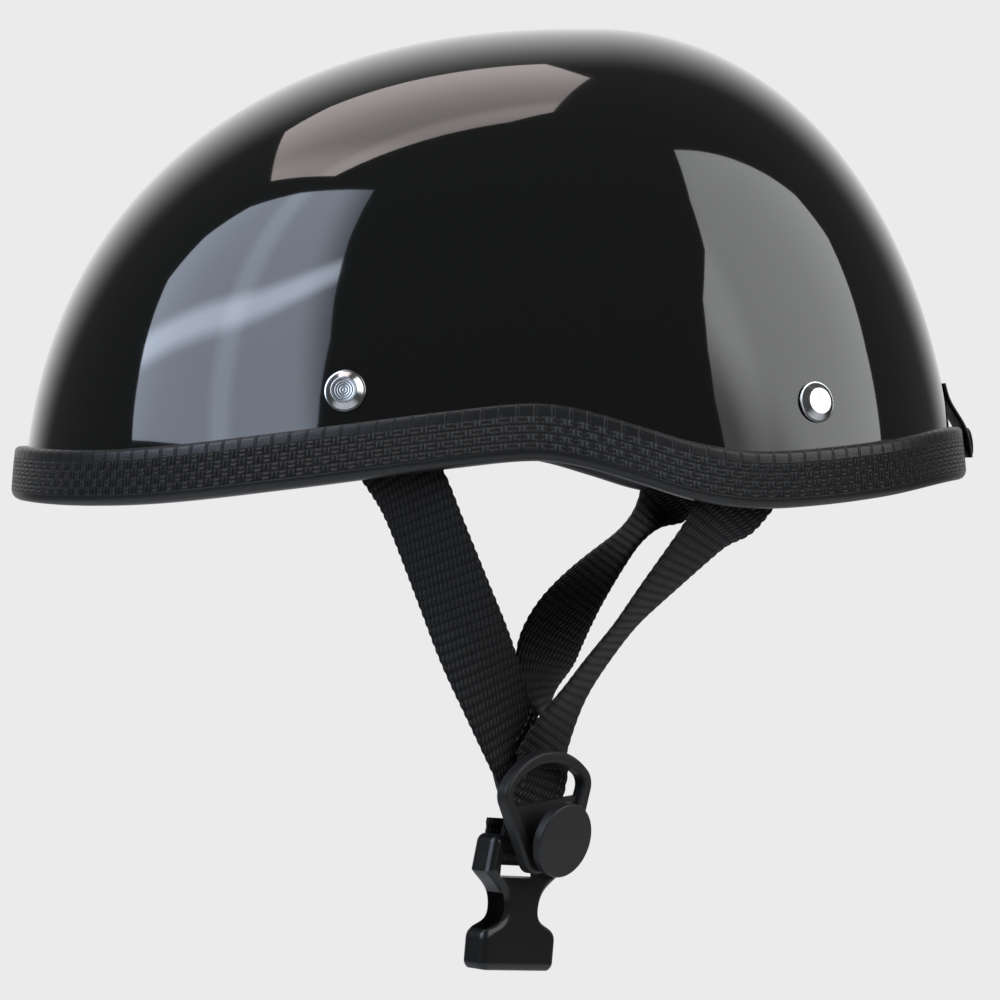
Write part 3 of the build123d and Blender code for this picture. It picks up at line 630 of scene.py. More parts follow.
class HELMET_webbing_settings(PropertyGroup):
    colour: tinted("Nylon", "Colour of the webbing", 0.026, 0.026, 0.026)
    float_pitch: measured("Float pitch", "Spacing of the floats across the webbing", 0.00125, min=0.0001)
    row_pitch: measured("Row pitch", "Spacing of the rows of floats", 0.0026, min=0.0001)
    float_slant: FloatProperty(
        name="Slant", description="Sideways lean of a float over one row, in float pitches", default=0.7,
    )
    relief: measured("Relief", "Depth of the weave", 0.0004, min=0)


class HELMET_metal_settings(PropertyGroup):
    chrome: tinted("Chrome", "Colour of the chromed rivets", 0.78, 0.79, 0.80)
    steel: tinted("Steel", "Colour of the washers", 0.55, 0.55, 0.53)
    black_metal: tinted("Black metal", "Colour of the snap", 0.07, 0.07, 0.07)


class HELMET_plastic_settings(PropertyGroup):
    ring: tinted("Ring", "Colour of the strap rings", 0.014, 0.014, 0.014)
    button: tinted("Button", "Colour of the round buttons", 0.022, 0.022, 0.022)
    buckle: tinted("Buckle", "Colour of the buckle", 0.016, 0.016, 0.016)


class HELMET_padding_settings(PropertyGroup):
    foam: tinted("Foam", "Colour of the foam liner", 0.03, 0.03, 0.032)
    cloth: tinted("Cloth", "Colour of the comfort pads", 0.045, 0.045, 0.048)
    knit_pitch: measured("Knit pitch", "Spacing of the cloth's ribs", 0.0011, min=0.0001)
    leather: tinted("Leather", "Colour of the goggle strap", 0.016, 0.016, 0.016)


class HELMET_stage_settings(PropertyGroup):
    backdrop: FloatProperty(
        name="Backdrop", description="Level of the pale background, where 1 is white", default=0.83,
        min=0, max=1,
    )
    softbox: FloatProperty(name="Softboxes", description="Strength of the softboxes", default=2.4, min=0)
    floor: measured("Floor", "Height of the floor under the helmet", -0.30)
    lens: FloatProperty(
        name="Lens", description="Focal length of the camera in millimetres", default=120.6, min=1,
    )


def rim_foot(turn, lift, inset=0.0):
    """Point of the dome wall straight above the rim line by lift, at a turn about the dome's axis."""
    direction = Vector((cos(turn), sin(turn), 0))
    point = dome_hit(Vector((DOME_X, 0, 0)), direction, inset)
    for _ in range(4):
        point = dome_hit(Vector((DOME_X, 0, rim_height(point.x) + lift)), direction, inset)
    return point


def dome_rows(inset, stations, rows):
    """Rows of points on the dome from its crown down to the shell's foot, with their normals."""
    centre = Vector((DOME_X, 0, DOME_Z))
    columns = []
    for station in range(stations):
        turn = 2 * pi * station / stations
        foot = rim_foot(turn, SHELL_FOOT, inset)
        low = (foot - centre).xy.length
        low = Vector((low, foot.z - DOME_Z)).angle(Vector((1, 0)))
        column = []
        for row in range(rows):
            rise = pi / 2 + (low - pi / 2) * row / (rows - 1) if row else pi / 2 - 0.002
            direction = Vector((cos(rise) * cos(turn), cos(rise) * sin(turn), sin(rise)))
            column.append(dome_hit(centre, direction, inset))
        column[-1] = foot
        columns.append(column)
    return [[column[row] for column in columns] for row in range(rows)]


class HELMET_OT_shell(Operator):
    """Makes the gloss black shell"""

    bl_idname = "helmet.shell"
    bl_label = "Shell"

    def execute(self, context):
        settings = context.scene.helmet_shell
        outside = dome_rows(0.0, settings.stations, settings.rows)
        inside = dome_rows(SHELL_WALL, settings.stations, settings.rows)
        rows = outside + inside[::-1]
        normals = [dome_normal(point) for row in outside for point in row]
        normals += [-dome_normal(point, SHELL_WALL) for row in inside[::-1] for point in row]
        mesh = grid_mesh("shell_wall", rows, lambda i, j: (j / settings.stations, i / len(rows)), wrap=True)
        first = range(settings.stations)
        last = range((len(rows) - 1) * settings.stations, len(mesh.vertices))
        capped(mesh, [list(first), list(last)])
        mesh.normals_split_custom_set_from_vertices(normals)
        new_object("shell_wall", mesh, "shell_gloss", gloss_black(settings), "helmet", "shell")
        return {"FINISHED"}


def trim_section(turn):
    """Section of the edge trim at a turn: its points, from the lip down the outside and up the inside."""
    direction = Vector((cos(turn), sin(turn), 0))
    low = rim_height(dome_hit(Vector((DOME_X, 0, 0)), direction).x)
    axis = Vector((DOME_X, 0, 0))
    walls = {}
    for share in (0.0, 0.5, 1.0):
        height = low + TRIM_HEIGHT * share
        walls[share] = (dome_hit(axis + Vector((0, 0, height)), direction) - axis).dot(direction)
    bow = walls[0.5] * 2 - walls[0.0] / 2 - walls[1.0] / 2 - walls[0.5]

    def wall(inset, height):
        share = height / TRIM_HEIGHT
        reach = walls[0.0] + (walls[1.0] - walls[0.0]) * share + bow * 4 * share * (1 - share)
        return reach - inset

    seam, lip = 0.0003, TRIM_HEIGHT
    corners = [
        (-seam, lip - 0.003), (-seam, lip), (-TRIM_OUT, lip), (-TRIM_OUT, 0), (TRIM_INNER, 0),
        (TRIM_INNER, lip), (SHELL_WALL + seam, lip), (SHELL_WALL + seam, lip - 0.003),
    ]
    radii = [0, 0.0003, TRIM_LIP_ROUND, TRIM_FOOT_ROUND, TRIM_FOOT_ROUND, TRIM_LIP_ROUND, 0.0003, 0]
    section = []
    outline = rounded(corners, radii, 5)
    for index, (inset, height) in enumerate(outline):
        section.append((inset, height))
        if index + 1 < len(outline):
            ahead = outline[index + 1]
            count = int((Vector(ahead) - Vector((inset, height))).length / 0.0012)
            for step in range(1, count):
                share = step / count
                section.append((inset + (ahead[0] - inset) * share, height + (ahead[1] - height) * share))
    return [
        axis + direction * wall(inset, height) + Vector((0, 0, low + height)) for inset, height in section
    ]


class HELMET_OT_trim(Operator):
    """Makes the moulded edge trim round the rim"""

    bl_idname = "helmet.trim"
    bl_label = "Edge trim"

    def execute(self, context):
        settings = context.scene.helmet_trim
        stations = 360
        rows = [trim_section(2 * pi * station / stations) for station in range(stations)]
        side = next(index for index, point in enumerate(rows[0]) if point.x - rows[0][0].x > TRIM_OUT * 0.9)
        steps = [(rows[index][side] - rows[index - 1][side]).length for index in range(1, stations)]
        steps.append((rows[0][side] - rows[-1][side]).length)
        pairs = round(sum(steps) / settings.weave_cell[0] / 2)
        stretch = pairs * 2 * settings.weave_cell[0] / sum(steps)
        along = [0.0]
        for step in steps:
            along.append(along[-1] + step * stretch)
        down = [0.0]
        for before, after in zip(rows[0], rows[0][1:]):
            down.append(down[-1] + (after - before).length)
        start = down[next(i for i, point in enumerate(rows[0]) if point.z > rows[0][0].z + 0.0029)]
        mesh = grid_mesh("trim_channel", rows, lambda i, j: (along[i], down[j] - start), close=True)
        new_object("trim_channel", mesh, "trim_rubber", woven_rubber(settings), "helmet", "edge_trim")
        return {"FINISHED"}


def rivet_profile():
    """Half profile of a chromed rivet, from the middle of its face to its clinched tail."""
    tail = TAB_UPPER + WEBBING + WASHER_GAP + WASHER
    corners = [
        (0, 0.00194), (0.0012, 0.00195), (0.0028, 0.0020), (0.0036, 0.00205), (0.0052, 0.0007),
        (0.0057, 0.0006), (0.0057, 0.0001), (0.002, 0.0001), (0.002, -tail),
        (0.0035, -tail), (0.003, -tail - 0.0012), (0, -tail - 0.0012),
    ]
    radii = [0, 0.0008, 0.0008, 0.0003, 0.0003, 0.0002, 0.0001, 0, 0, 0.0003, 0.0003, 0]
    return rounded(corners, radii, 4)


def washer_profile(size, bore, thickness):
    """Half profile of a flat washer below its face."""
    corners = [(bore / 2, 0), (size / 2, 0), (size / 2, -thickness), (bore / 2, -thickness)]
    outline = rounded(corners, [thickness / 6] * 4, 3)
    return outline + outline[:1]


class HELMET_OT_rivets(Operator):
    """Makes the four chromed rivets and their washers"""

    bl_idname = "helmet.rivets"
    bl_label = "Rivets and washers"

    def execute(self, context):
        settings = context.scene.helmet_metal
        chrome, steel = polished_chrome(settings), plain_steel(settings)
        for end, (x, z) in RIVETS.items():
            for hand, side in SIDES.items():
                place = wall_placing(wall_point(x, z, side["sign"]))
                mesh = turned_mesh("rivet", rivet_profile(), place)
                node = f"{end}_rivet_{hand}"
                new_object(f"{node}_cap", mesh, "rivet_chrome", chrome, "helmet", node)
                seat = Matrix.Translation((0, 0, -TAB_UPPER - WEBBING - WASHER_GAP))
                profile = washer_profile(WASHER_SIZE, WASHER_BORE, WASHER)
                mesh = turned_mesh("washer", profile, place @ seat)
                node = f"{end}_rivet_washer_{hand}"
                new_object(f"{node}_disc", mesh, "washer_steel", steel, "helmet", node)
        return {"FINISHED"}


def dress(names, finish):
    """Gives CAD nodes whose shape is right their finish."""
    for name in names:
        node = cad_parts[name]
        for place in node.material_slots:
            place.material = finish


class HELMET_OT_liner(Operator):
    """Finishes the foam liner"""

    bl_idname = "helmet.liner"
    bl_label = "Foam liner"

    def execute(self, context):
        dress(["foam_liner"], moulded_foam(context.scene.helmet_padding))
        return {"FINISHED"}


PAD_CORNER = 0.014
PADS = {
    "crown_pad": ((0, 0, 0), (1, 0, 0), (0, 1, 0), (0, 0, 1), 0.118, 0.092),
    "brow_pad": ((0.046, 0, 0.0335), (0, 1, 0), (0, 0, 1), (1, 0, 0), 0.116, 0.036),
    "nape_pad": ((-0.046, 0, 0.0335), (0, -1, 0), (0, 0, 1), (-1, 0, 0), 0.100, 0.036),
    "side_pad_left": ((0, 0, 0.041), (-1, 0, 0), (0, 0, 1), (0, 1, 0), 0.088, 0.038),
    "side_pad_right": ((0, 0, 0.041), (1, 0, 0), (0, 0, 1), (0, -1, 0), 0.088, 0.038),
}


def pad_outline(length, width, steps):
    """Rounded rectangle of a pad as points round its middle."""
    half, high = length / 2, width / 2
    corners = [(half, -high), (half, high), (-half, high), (-half, -high)]
    outline = rounded(corners, [PAD_CORNER] * 4, steps)
    points = []
    for index, point in enumerate(outline):
        after = outline[(index + 1) % len(outline)]
        count = max(1, int((after - point).length / 0.003))
        points += [point.lerp(after, step / count) for step in range(count)]
    return points


def pad_mesh(name, origin, across, up, look, length, width):
    """Crowned cushion on the inside of the liner, sewn to a flat back with a seam round it."""
    origin, across, up, look = Vector(origin), Vector(across), Vector(up), Vector(look)
    outline = pad_outline(length, width, 6)
    shares = [0.02, 0.12, 0.24, 0.36, 0.48, 0.6, 0.7, 0.79, 0.86, 0.915, 0.955, 0.985, 1.0]
    thickness = PAD_INNER - PAD_OUTER

    def row(share, inset):
        places = []
        for point in outline:
            spot = origin + across * point.x * share + up * point.y * share
            places.append(dome_hit(spot, look, inset))
        return places

    def face(share):
        crown = (1 - share**5) ** 0.55 if share < 1 else 0.0
        return PAD_OUTER + thickness * (0.3 + 0.68 * crown)

    rows = [row(share, face(share)) for share in shares]
    rows += [row(0.992, PAD_OUTER + thickness * 0.14), row(0.97, PAD_OUTER + 0.0001)]
    rows += [row(share, PAD_OUTER + 0.0001) for share in (0.6, 0.3, 0.02)]
    wide = [point.copy() for point in outline] + [outline[0]]
    spread = shares + [1.01, 1.02, 1.3, 1.6, 1.9]
    mesh = grid_mesh(name, rows, lambda i, j: tuple(wide[j] * spread[i]), wrap=True)
    count = len(outline)
    return capped(mesh, [list(range(count)), list(range((len(rows) - 1) * count, len(rows) * count))])


class HELMET_OT_pads(Operator):
    """Makes the five sewn comfort pads"""

    bl_idname = "helmet.pads"
    bl_label = "Comfort pads"

    def execute(self, context):
        cloth = brushed_cloth(context.scene.helmet_padding)
        for node, place in PADS.items():
            cushion = new_object(
                f"{node}_cushion", pad_mesh(node, *place), "pad_cloth", cloth, "helmet", node
            )
        return {"FINISHED"}


def smoothed(values, passes):
    """Values evened out along a line, its ends kept."""
    for _ in range(passes):
        inner = [(a + b * 2 + c) / 4 for a, b, c in zip(values, values[1:], values[2:])]
        values = [values[0], *inner, values[-1]]
    return values


def evenly(points, acrosses, step):
    """Points and widths of a line respaced evenly."""
    lengths = [0.0]
    for before, after in zip(points, points[1:]):
        lengths.append(lengths[-1] + (after - before).length)
    count = max(2, ceil(lengths[-1] / step))
    spaced, widths, index = [], [], 0
    for number in range(count + 1):
        goal = lengths[-1] * number / count
        while index < len(lengths) - 2 and lengths[index + 1] < goal:
            index += 1
        share = (goal - lengths[index]) / (lengths[index + 1] - lengths[index])
        spaced.append(points[index].lerp(points[index + 1], share))
        widths.append(acrosses[index].lerp(acrosses[index + 1], share))
    return spaced, widths, lengths[-1]


def ribbon_mesh(name, points, acrosses, width, thickness, tooth=0.0, pitch=0.0026, step=0.00065):
    """Flat band along a line, with rounded edges and a loop of thread showing at each row."""
    points, acrosses, length = evenly(points, acrosses, step)
    count = len(points) - 1
    flat = [index / 10 * 2 - 1 for index in range(11)]
    section = [(share, 1) for share in flat] + [(1.0, 0)]
    section += [(share, -1) for share in flat[::-1]] + [(-1.0, 0)]
    rows, places = [], [share * width / 2 for share, _ in section]
    places.append(places[0])
    for index, (point, across) in enumerate(zip(points, acrosses)):
        way = (points[min(index + 1, count)] - points[max(index - 1, 0)]).normalized()
        across = (across - way * across.dot(way)).normalized()
        out = way.cross(across)
        spread = width / 2 - tooth * (1 - abs(sin(pi * index * length / count / pitch)))
        row = []
        for share, side in section:
            thin = thickness / 2 * (1 - 0.45 * abs(share) ** 8)
            row.append(point + across * spread * share + out * side * thin)
        row[11] = point + across * (spread + thickness / 6)
        row[23] = point - across * (spread + thickness / 6)
        rows.append(row)
    mesh = grid_mesh(name, rows, lambda i, j: (places[j], i * length / count), wrap=True)
    wide = len(section)
    return capped(mesh, [list(range(wide)), list(range(count * wide, (count + 1) * wide))])


def webbing_mesh(name, points, acrosses, settings):
    """Band of the harness's webbing along a line."""
    return ribbon_mesh(name, points, acrosses, WEBBING_WIDTH, WEBBING, TOOTH, settings.row_pitch)


def exit_point(x, side):
    """Middle of the webbing where it leaves the rim."""
    return wall_point(x, rim_height(x) - EXIT_DROP, side, TAB_LOWER + WEBBING / 2)


def tab_line(end, side):
    """Line of a strap inside the shell, from past its rivet down to the rim."""
    rivet, x = RIVETS[end], EXITS[end]
    low = Vector((x, 0, rim_height(x) - EXIT_DROP))
    along = Vector((rivet[0], 0, rivet[1])) - low
    total = along.length + TAB_PAST_RIVET
    points, acrosses = [], []
    count = 24
    for index in range(count):
        spot = low + along.normalized() * total * (1 - index / count)
        above = min(max((spot.z - rim_height(spot.x) - TRIM_HEIGHT) / 0.003, 0), 1)
        share = above * above * (3 - 2 * above)
        inset = TAB_LOWER + (TAB_UPPER - TAB_LOWER) * share + WEBBING / 2
        point = wall_point(spot.x, spot.z, side, inset)
        points.append(point)
        acrosses.append(dome_normal(point, inset).cross(-along).normalized() * side)
    return points, acrosses


def ring_placing(hand):
    """Placing of a strap ring: X across it, Y up and Z out of the helmet."""
    side = SIDES[hand]
    sign, turn = side["sign"], radians(side["turn"])
    out = Vector((-sin(turn), sign * cos(turn), 0))
    middle = (exit_point(EXITS["front"], sign).y + exit_point(EXITS["rear"], sign).y) / 2
    return placing(Vector((RING_CENTRE[0], middle, RING_CENTRE[1])), Vector((0, 0, 1)).cross(out), out)


def buckle_placing(hand):
    """Placing of the middle of a buckle's webbing bar."""
    place, tip = ring_placing(hand), radians(SIDES[hand]["tip"])
    seam = RING_HEIGHT * SEAM_SHARE
    level = -(RING_THICKNESS / 2 + BUCKLE_GAP + BUCKLE_THICKNESS / 2)
    down = Vector((-sin(tip), -cos(tip), 0)) * (seam + BUCKLE_DROP)
    return place @ Matrix.Translation(Vector((0, seam, level)) + down) @ Matrix.Rotation(-tip, 4, "Z")


def strap_line(end, hand):
    """Line of one strap from past its rivet to the seam behind the ring, with its widths."""
    side = SIDES[hand]
    sign, place = side["sign"], ring_placing(hand)
    leave = exit_point(EXITS[end], sign)
    way = STRAP_WAYS[end].normalized()
    across = Vector((0, 1, 0)).cross(way)
    start = leave - way * WEBBING_WIDTH / 2
    level = -(RING_THICKNESS / 2 + BUCKLE_GAP + BUCKLE_THICKNESS / 2) + LEG_LEVEL
    last = place @ Vector((0, RING_HEIGHT * SEAM_SHARE - RING_BAR, level - side["plies"][end] * PLY))
    slant = radians(side["slants"][end])
    x_dir, y_dir, out = (place.to_3x3() @ axis for axis in map(Vector, ((1, 0, 0), (0, 1, 0), (0, 0, 1))))
    curls, bow, shift = HANGS[f"{end}_{hand}"]
    last = last + x_dir * shift
    last_way = x_dir * sin(slant) - y_dir * cos(slant)
    last_across = last_way.cross(out)
    if last_across.dot(across) < 0:
        last_across = -last_across
    reach = (last - start).length / 3
    poles = [start, start + way * reach, last - last_way * reach + Vector((bow, 0, 0)), last]
    points, acrosses = tab_line(end, sign)
    for index in range(STRAP_STEPS + 1):
        share = index / STRAP_STEPS
        rest = 1 - share
        point = poles[0] * rest**3 + poles[1] * 3 * rest**2 * share
        point = point + poles[2] * 3 * rest * share**2 + poles[3] * share**3
        if (point - start).length > WEBBING_WIDTH / 2 + EXIT_CLEARANCE:
            points.append(point)
            turned = max(0, (share * 6 - 1) / 5)
            width_way = across * (1 - turned) + last_across * turned
            station = min(int(share * 4), 3)
            part = share * 4 - station
            curl = radians(curls[station] * (1 - part) + curls[station + 1] * part)
            acrosses.append(Matrix.Rotation(curl, 3, way) @ width_way)
    points, acrosses, _ = evenly(points, acrosses, 0.002)
    return smoothed(points, 6), smoothed(acrosses, 6), leave, way


class HELMET_OT_straps(Operator):
    """Makes the four straps of the harness, from their rivets to the rings"""

    bl_idname = "helmet.straps"
    bl_label = "Straps"

    def execute(self, context):
        settings = context.scene.helmet_webbing
        nylon = webbing_nylon(settings)
        for end in EXITS:
            for hand in SIDES:
                points, acrosses, leave, way = strap_line(end, hand)
                mesh = webbing_mesh("strap", points, acrosses, settings)
                nodes = (f"{end}_strap_{hand}", f"{end}_strap_tab_{hand}")
                strap = new_object(f"{end}_webbing_{hand}", mesh, "webbing", nylon, None, *nodes)
                tuple(leave - way * BEND_REACH)
                tuple(leave + way * BEND_REACH)
                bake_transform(strap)
        return {"FINISHED"}


def loop_shift(hand, up, out):
    """Sideways shift of a chin loop's front leg, from its bar up to the seam."""
    share = min(max(up / (RING_HEIGHT * SEAM_SHARE + BUCKLE_DROP), 0), 1) if out > 0 else 0
    return LOOP_SHIFTS[hand] * share * share * (3 - 2 * share)


class HELMET_OT_loops(Operator):
    """Makes the webbing loops that hold the two halves of the buckle"""

    bl_idname = "helmet.loops"
    bl_label = "Chin loops"

    def execute(self, context):
        settings = context.scene.helmet_webbing
        nylon = webbing_nylon(settings)
        seam = RING_HEIGHT * SEAM_SHARE
        for hand, tail in LOOP_TAILS.items():
            place = buckle_placing(hand)
            top = seam + BUCKLE_DROP
            front = [(top - index / 12 * top, LEG_LEVEL) for index in range(12)]
            turns = [pi * index / 12 for index in range(13)]
            bend = [(-LEG_LEVEL * sin(turn), LEG_LEVEL * cos(turn)) for turn in turns]
            back = [(tail * index / 8, -LEG_LEVEL) for index in range(1, 9)]
            points = [place @ Vector((loop_shift(hand, up, out), up, out)) for up, out in front + bend + back]
            acrosses = [place.to_3x3() @ Vector((1, 0, 0))] * len(points)
            mesh = webbing_mesh("loop", points, acrosses, settings)
            name, body, node = f"{hand}_buckle_webbing", f"{hand}_harness", f"chin_loop_{hand}"
            new_object(name, mesh, "webbing", nylon, body, node)
        return {"FINISHED"}


def sewn_row(corners):
    """Centres and directions of the stitches along a line of corners."""
    stitches = []
    for start, end in zip(corners, corners[1:]):
        count = max(1, round((end - start).length / STITCH_PITCH))
        stitches += [(start.lerp(end, (index + 0.5) / count), end - start) for index in range(count)]
    return stitches


class HELMET_OT_stitches(Operator):
    """Sews the straps together above the rings and the loops behind them"""

    bl_idname = "helmet.stitches"
    bl_label = "Stitches"

    def execute(self, context):
        sewn = thread(context.scene.helmet_webbing)
        for hand in SIDES:
            place = buckle_placing(hand)
            level = LEG_LEVEL + WEBBING / 2
            corners = [(-BOX_HALF, BOX_HIGH), (-BOX_HALF, BOX_LOW), (BOX_HALF, BOX_LOW), (BOX_HALF, BOX_HIGH)]
            corners.append(corners[0])
            box = [place @ Vector((across + loop_shift(hand, up, 1), up, level)) for across, up in corners]
            out = place.to_3x3() @ Vector((0, 0, 1))
            stitches = [(centre, along, out) for centre, along in sewn_row(box)]
            points, acrosses, _, _ = strap_line("front", hand)
            for shift in (0, ROW_GAP):
                row = []
                for back, offset in ROW_PLACES:
                    way = (points[-back] - points[-back - 1]).normalized()
                    across = (acrosses[-back] - way * acrosses[-back].dot(way)).normalized()
                    face = way.cross(across)
                    face = face if face.dot(out) > 0 else -face
                    row.append(points[-back] + across * offset + way * shift + face * WEBBING / 2)
                stitches += [(centre, along, face) for centre, along in sewn_row(row)]
            mesh = bmesh.new()
            for centre, along, face in stitches:
                along = along - face * along.dot(face)
                size = Matrix.Diagonal((STITCH / 2, THREAD / 2, THREAD / 2, 1))
                spot = placing(centre, along, face) @ size
                bmesh.ops.create_uvsphere(mesh, u_segments=8, v_segments=6, radius=1, matrix=spot)
            for part in mesh.faces:
                part.smooth = True
            data = finished_mesh("stitches", mesh)
            new_object(f"{hand}_stitches", data, "webbing", sewn, f"{hand}_harness")
        return {"FINISHED"}


class HELMET_OT_rings(Operator):
    """Finishes the strap rings, their round buttons and the washers behind them"""

    bl_idname = "helmet.rings"
    bl_label = "Strap rings"

    def execute(self, context):
        plastic = context.scene.helmet_plastic
        ring = moulded_plastic("ring_plastic", plastic.ring, 0.5, 0.00002)
        button = moulded_plastic("button_plastic", plastic.button, 0.42, 0.000012)
        dress(["strap_ring_left", "strap_ring_right"], ring)
        dress(["ring_button_left", "ring_button_right"], button)
        steel = plain_steel(context.scene.helmet_metal)
        dress(["button_washer_left", "button_washer_right"], steel)
        return {"FINISHED"}


class HELMET_OT_buckle(Operator):
    """Finishes the two halves of the side-release buckle"""

    bl_idname = "helmet.buckle"
    bl_label = "Buckle"

    def execute(self, context):
        buckle = moulded_plastic("buckle_plastic", context.scene.helmet_plastic.buckle, 0.24, 0.00001)
        names = ["buckle_socket", "buckle_plug", "plug_prong_inner", "plug_prong_outer"]
        dress(names, buckle)
        return {"FINISHED"}


class HELMET_OT_goggle_strap(Operator):
    """Makes the goggle strap at the back with its rivet and snap"""

    bl_idname = "helmet.goggle_strap"
    bl_label = "Goggle strap"

    def execute(self, context):
        leather = strap_leather(context.scene.helmet_padding)
        face = TRIM_OUT + GOGGLE_STAND_OFF
        top = rim_height(-HALF_LENGTH) + TRIM_HEIGHT
        stands = [
            (GOGGLE_TOP, 0.0003), (GOGGLE_HINGE, 0.0006), (top, TRIM_OUT + GOGGLE_LIP_GAP),
            (SNAP_HEIGHT, face), (GOGGLE_LOW, face),
        ]
        points = [rear_point(z, -stand - GOGGLE_THICKNESS / 2) for z, stand in stands]
        across = Vector((0, 1, 0))
        points, acrosses, _ = evenly(points, [across] * len(points), 0.0008)
        points = smoothed(points, 12)
        mesh = ribbon_mesh("goggle_strap", points, acrosses, GOGGLE_WIDTH, GOGGLE_THICKNESS)
        strap = new_object(
            "goggle_flap_band", mesh, "goggle_strap", leather, None, "goggle_strap", "goggle_strap_tab"
        )
        hinge = rear_point(GOGGLE_HINGE, -GOGGLE_THICKNESS)
        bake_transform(strap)
        black = context.scene.helmet_metal.black_metal
        metal = worn_metal("black_metal", 600, 0.03, black, 0.25)
        dress(["goggle_strap_rivet", "goggle_snap_cap", "goggle_snap_stud"], metal)
        return {"FINISHED"}


# Stage

# Each softbox: heading, tint, shades as direction, start, end and low level, streaks as direction, offset,
# bend, width and gain, and its outline in millimetres
SOFTBOXES = {
    "left_softbox": (
        (55, 30), (0.82, 0.93, 1.12),
        [(25, 0.46, 0.74, 0.35), (0, -0.35, -0.85, 1.15)],
        [(106, 0.142, 0.8, 0.17, 1.15), (15.6, 0.05, 0.0, 0.13, 0.3)],
        [(-567, 915), (-251, 1047), (216, 1163), (408, 722), (601, 318), (721, 81), (792, -157),
         (868, -392), (920, -640), (-694, -592), (-745, -252), (-810, 48), (-887, 379), (-777, 681)],
    ),
    "right_softbox": (
        (-70, 30), (0.83, 0.84, 0.85),
        [(45, -0.55, -1.15, 0.3), (-50, -0.9, -1.5, 0.75)],
        [(0, -0.85, 0.0, 0.3, 0.2)],
        [(-166, 1372), (358, 864), (757, 501), (897, 226), (879, -85), (856, -306), (878, -642), (880, -800),
         (-1327, -800), (-1283, -254), (-1172, 38), (-998, 319), (-705, 563), (-510, 927)],
    ),
    "top_softbox": (
        (80, 75), (0.84, 0.76, 0.74),
        [(0, -0.75, 0.0, 0.68)],
        [(10, 0.13, 0.0, 0.14, 0.3), (-50, 0.35, 0.0, 0.35, 0.45)],
        [(-158, -518), (-809, -249), (-876, -31), (-857, 333), (-849, 678), (-467, 705), (84, 501),
         (164, 360), (195, -27), (216, -313)],
    ),
}
SOFTBOX_DISTANCE = 1.8
FLOOR_RADII, FLOOR_SEGMENTS = (0.001, 0.3, 0.6, 0.9), 48

# World light: weights of forward and up, start and end of the step from dark to pale, and the dark level
SKY_FORWARD, SKY_UP, SKY_START, SKY_END, SKY_DARK = 0.06, 0.35, 0.68, 1.08, 0.065

# Camera: heading and rise in degrees, target in metres at one metre's distance, and sensor in millimetres
CAMERA_HEADING, CAMERA_RISE, CAMERA_TARGET, SENSOR_WIDTH = 2, 1, (-0.00286, 0, 0.00078), 36


def stage_object(name, mesh, finish):
    """Adds a piece of the stage."""
    piece = bpy.data.objects.new(name, mesh)
    bpy.context.scene.collection.objects.link(piece)
    piece.data.materials.append(finish)
    return piece


def softbox_mesh(name, heading, outline):
    """Flat panel facing the helmet, outlined in millimetres across and up its own plane."""
    turn, rise = map(radians, heading)
    centre = Vector((sin(turn) * cos(rise), cos(turn) * cos(rise), sin(rise)))
    across = Vector((0, 0, 1)).cross(centre).normalized()
    up = centre.cross(across)
    mesh = bmesh.new()
    chart = mesh.loops.layers.uv.new("chart")
    corners = [(a / 1000, b / 1000) for a, b in outline]
    points = [mesh.verts.new(centre * SOFTBOX_DISTANCE + across * a + up * b) for a, b in corners]
    face = mesh.faces.new(points)
    for loop, corner in zip(face.loops, corners):
        loop[chart].uv = corner
    if face.normal.dot(centre) > 0:
        face.normal_flip()
    bmesh.ops.triangulate(mesh, faces=[face])
    return finished_mesh(name, mesh)


def floor_finish(settings):
    """Pale floor that fades out towards its edge and lets a view from below through."""
    finish = Finish("pale_floor", roughness=0.8)
    distance = finish.add("ShaderNodeVectorMath", {"operation": "LENGTH"}, {0: finish.place()}, 1)
    below = finish.add("ShaderNodeNewGeometry", None, None, 6)
    tone = finish.noise(3, 3.0)
    finish.feed("Base Color", finish.mix(tone, grey(0.78), grey(0.82)))
    finish.feed("Alpha", distance.ramp(0.5, 0.85, 1.0, 0.0) * (1 - below))
    return finish.material


class Sky(Finish):
    """World: pale behind the helmet, dark in front of it, and plain to the camera."""

    def __init__(self, name):
        self.world = bpy.data.worlds.new(name)
        self.world.use_nodes = True
        self.tree = self.world.node_tree
        self.shader = self.tree.nodes["Background"]


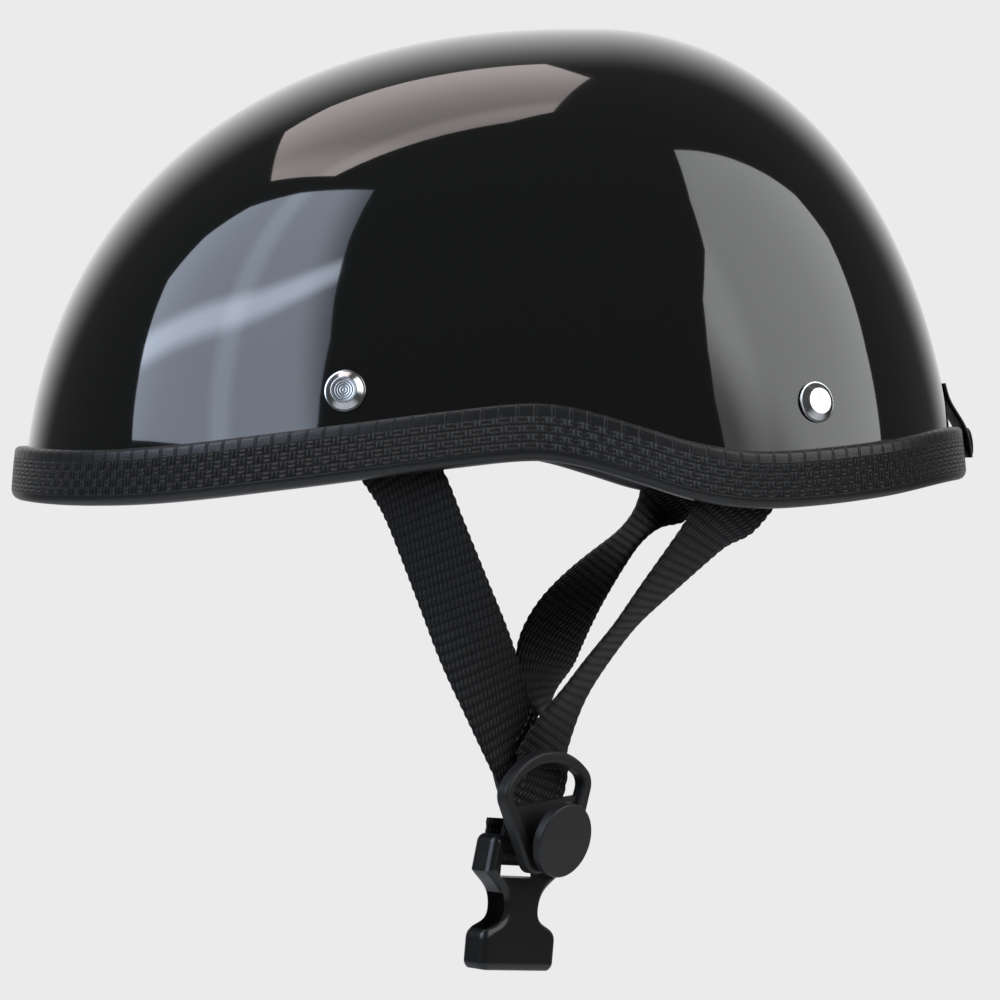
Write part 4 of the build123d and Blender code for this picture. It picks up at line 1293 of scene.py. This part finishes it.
class HELMET_OT_stage(Operator):
    """Makes the floor, the softboxes, the pale surroundings and the camera"""

    bl_idname = "helmet.stage"
    bl_label = "Stage"

    def execute(self, context):
        settings = context.scene.helmet_stage
        for name, (heading, tint, shades, streaks, outline) in SOFTBOXES.items():
            finish = softbox_cloth(f"{name}_cloth", settings, tint, shades, streaks)
            panel = stage_object(name, softbox_mesh(name, heading, outline), finish)
            panel.visible_camera = False
        rows = []
        for radius in FLOOR_RADII:
            turns = [2 * pi * index / FLOOR_SEGMENTS for index in range(FLOOR_SEGMENTS)]
            rows.append([Vector((radius * cos(turn), radius * sin(turn), settings.floor)) for turn in turns])
        floor_mesh = grid_mesh("floor", rows, lambda i, j: (j / FLOOR_SEGMENTS, i / 3), wrap=True)
        if floor_mesh.polygons[0].normal.z < 0:
            floor_mesh.flip_normals()
        stage_object("floor", floor_mesh, floor_finish(settings))

        sky = Sky("pale_surroundings")
        heading = sky.add("ShaderNodeTexCoord", None, None, 0)
        forward, side, up = (
            sky.add("ShaderNodeSeparateXYZ", None, {0: heading}, index) for index in range(3)
        )
        behind = forward * SKY_FORWARD - side + up * SKY_UP
        around = behind.ramp(SKY_START, SKY_END, SKY_DARK, settings.backdrop)
        seen = sky.add("ShaderNodeLightPath", None, None, 0)
        sky.feed("Strength", seen * settings.backdrop + (1 - seen) * around)
        sky.shader.inputs["Color"].default_value = grey(1.0)
        context.scene.world = sky.world

        turn, rise = radians(CAMERA_HEADING), radians(CAMERA_RISE)
        target = Vector(CAMERA_TARGET)
        back = Vector((sin(turn) * cos(rise), cos(turn) * cos(rise), sin(rise)))
        lens = bpy.data.cameras.new("camera")
        lens.lens, lens.sensor_width = settings.lens, SENSOR_WIDTH
        lens.clip_start, lens.clip_end = 0.05, 50
        camera = bpy.data.objects.new("camera", lens)
        context.scene.collection.objects.link(camera)
        camera.location = target + back
        camera.rotation_mode = "QUATERNION"
        camera.rotation_quaternion = (-back).to_track_quat("-Z", "Y")
        context.scene.camera = camera
        context.scene.view_settings.view_transform = "Standard"
        return {"FINISHED"}


class HELMET_PT_panel(Panel):
    """Lists the pieces of the helmet"""

    bl_idname = "HELMET_PT_panel"
    bl_label = "Half shell helmet"
    bl_space_type = "VIEW_3D"
    bl_region_type = "UI"
    bl_category = "Helmet"

    def draw(self, context):
        for operator in OPERATORS:
            self.layout.operator(operator.bl_idname)


SETTINGS = {
    "helmet_shell": HELMET_shell_settings,
    "helmet_trim": HELMET_trim_settings,
    "helmet_webbing": HELMET_webbing_settings,
    "helmet_metal": HELMET_metal_settings,
    "helmet_plastic": HELMET_plastic_settings,
    "helmet_padding": HELMET_padding_settings,
    "helmet_stage": HELMET_stage_settings,
}
OPERATORS = (
    HELMET_OT_shell, HELMET_OT_trim, HELMET_OT_rivets, HELMET_OT_liner, HELMET_OT_pads, HELMET_OT_straps,
    HELMET_OT_loops, HELMET_OT_stitches, HELMET_OT_rings, HELMET_OT_buckle, HELMET_OT_goggle_strap,
    HELMET_OT_stage,
)


def register():
    for name, group in SETTINGS.items():
        bpy.utils.register_class(group)
        setattr(bpy.types.Scene, name, PointerProperty(type=group))
    for operator in OPERATORS:
        bpy.utils.register_class(operator)
    bpy.utils.register_class(HELMET_PT_panel)


def unregister():
    bpy.utils.unregister_class(HELMET_PT_panel)
    for operator in reversed(OPERATORS):
        bpy.utils.unregister_class(operator)
    for name, group in reversed(SETTINGS.items()):
        delattr(bpy.types.Scene, name)
        bpy.utils.unregister_class(group)


def main():
    register()
    bpy.ops.helmet.shell()
    bpy.ops.helmet.trim()
    bpy.ops.helmet.rivets()
    bpy.ops.helmet.liner()
    bpy.ops.helmet.pads()
    bpy.ops.helmet.straps()
    bpy.ops.helmet.loops()
    bpy.ops.helmet.stitches()
    bpy.ops.helmet.rings()
    bpy.ops.helmet.buckle()
    bpy.ops.helmet.goggle_strap()
    bpy.ops.helmet.stage()


if __name__ == "__main__":
    main()
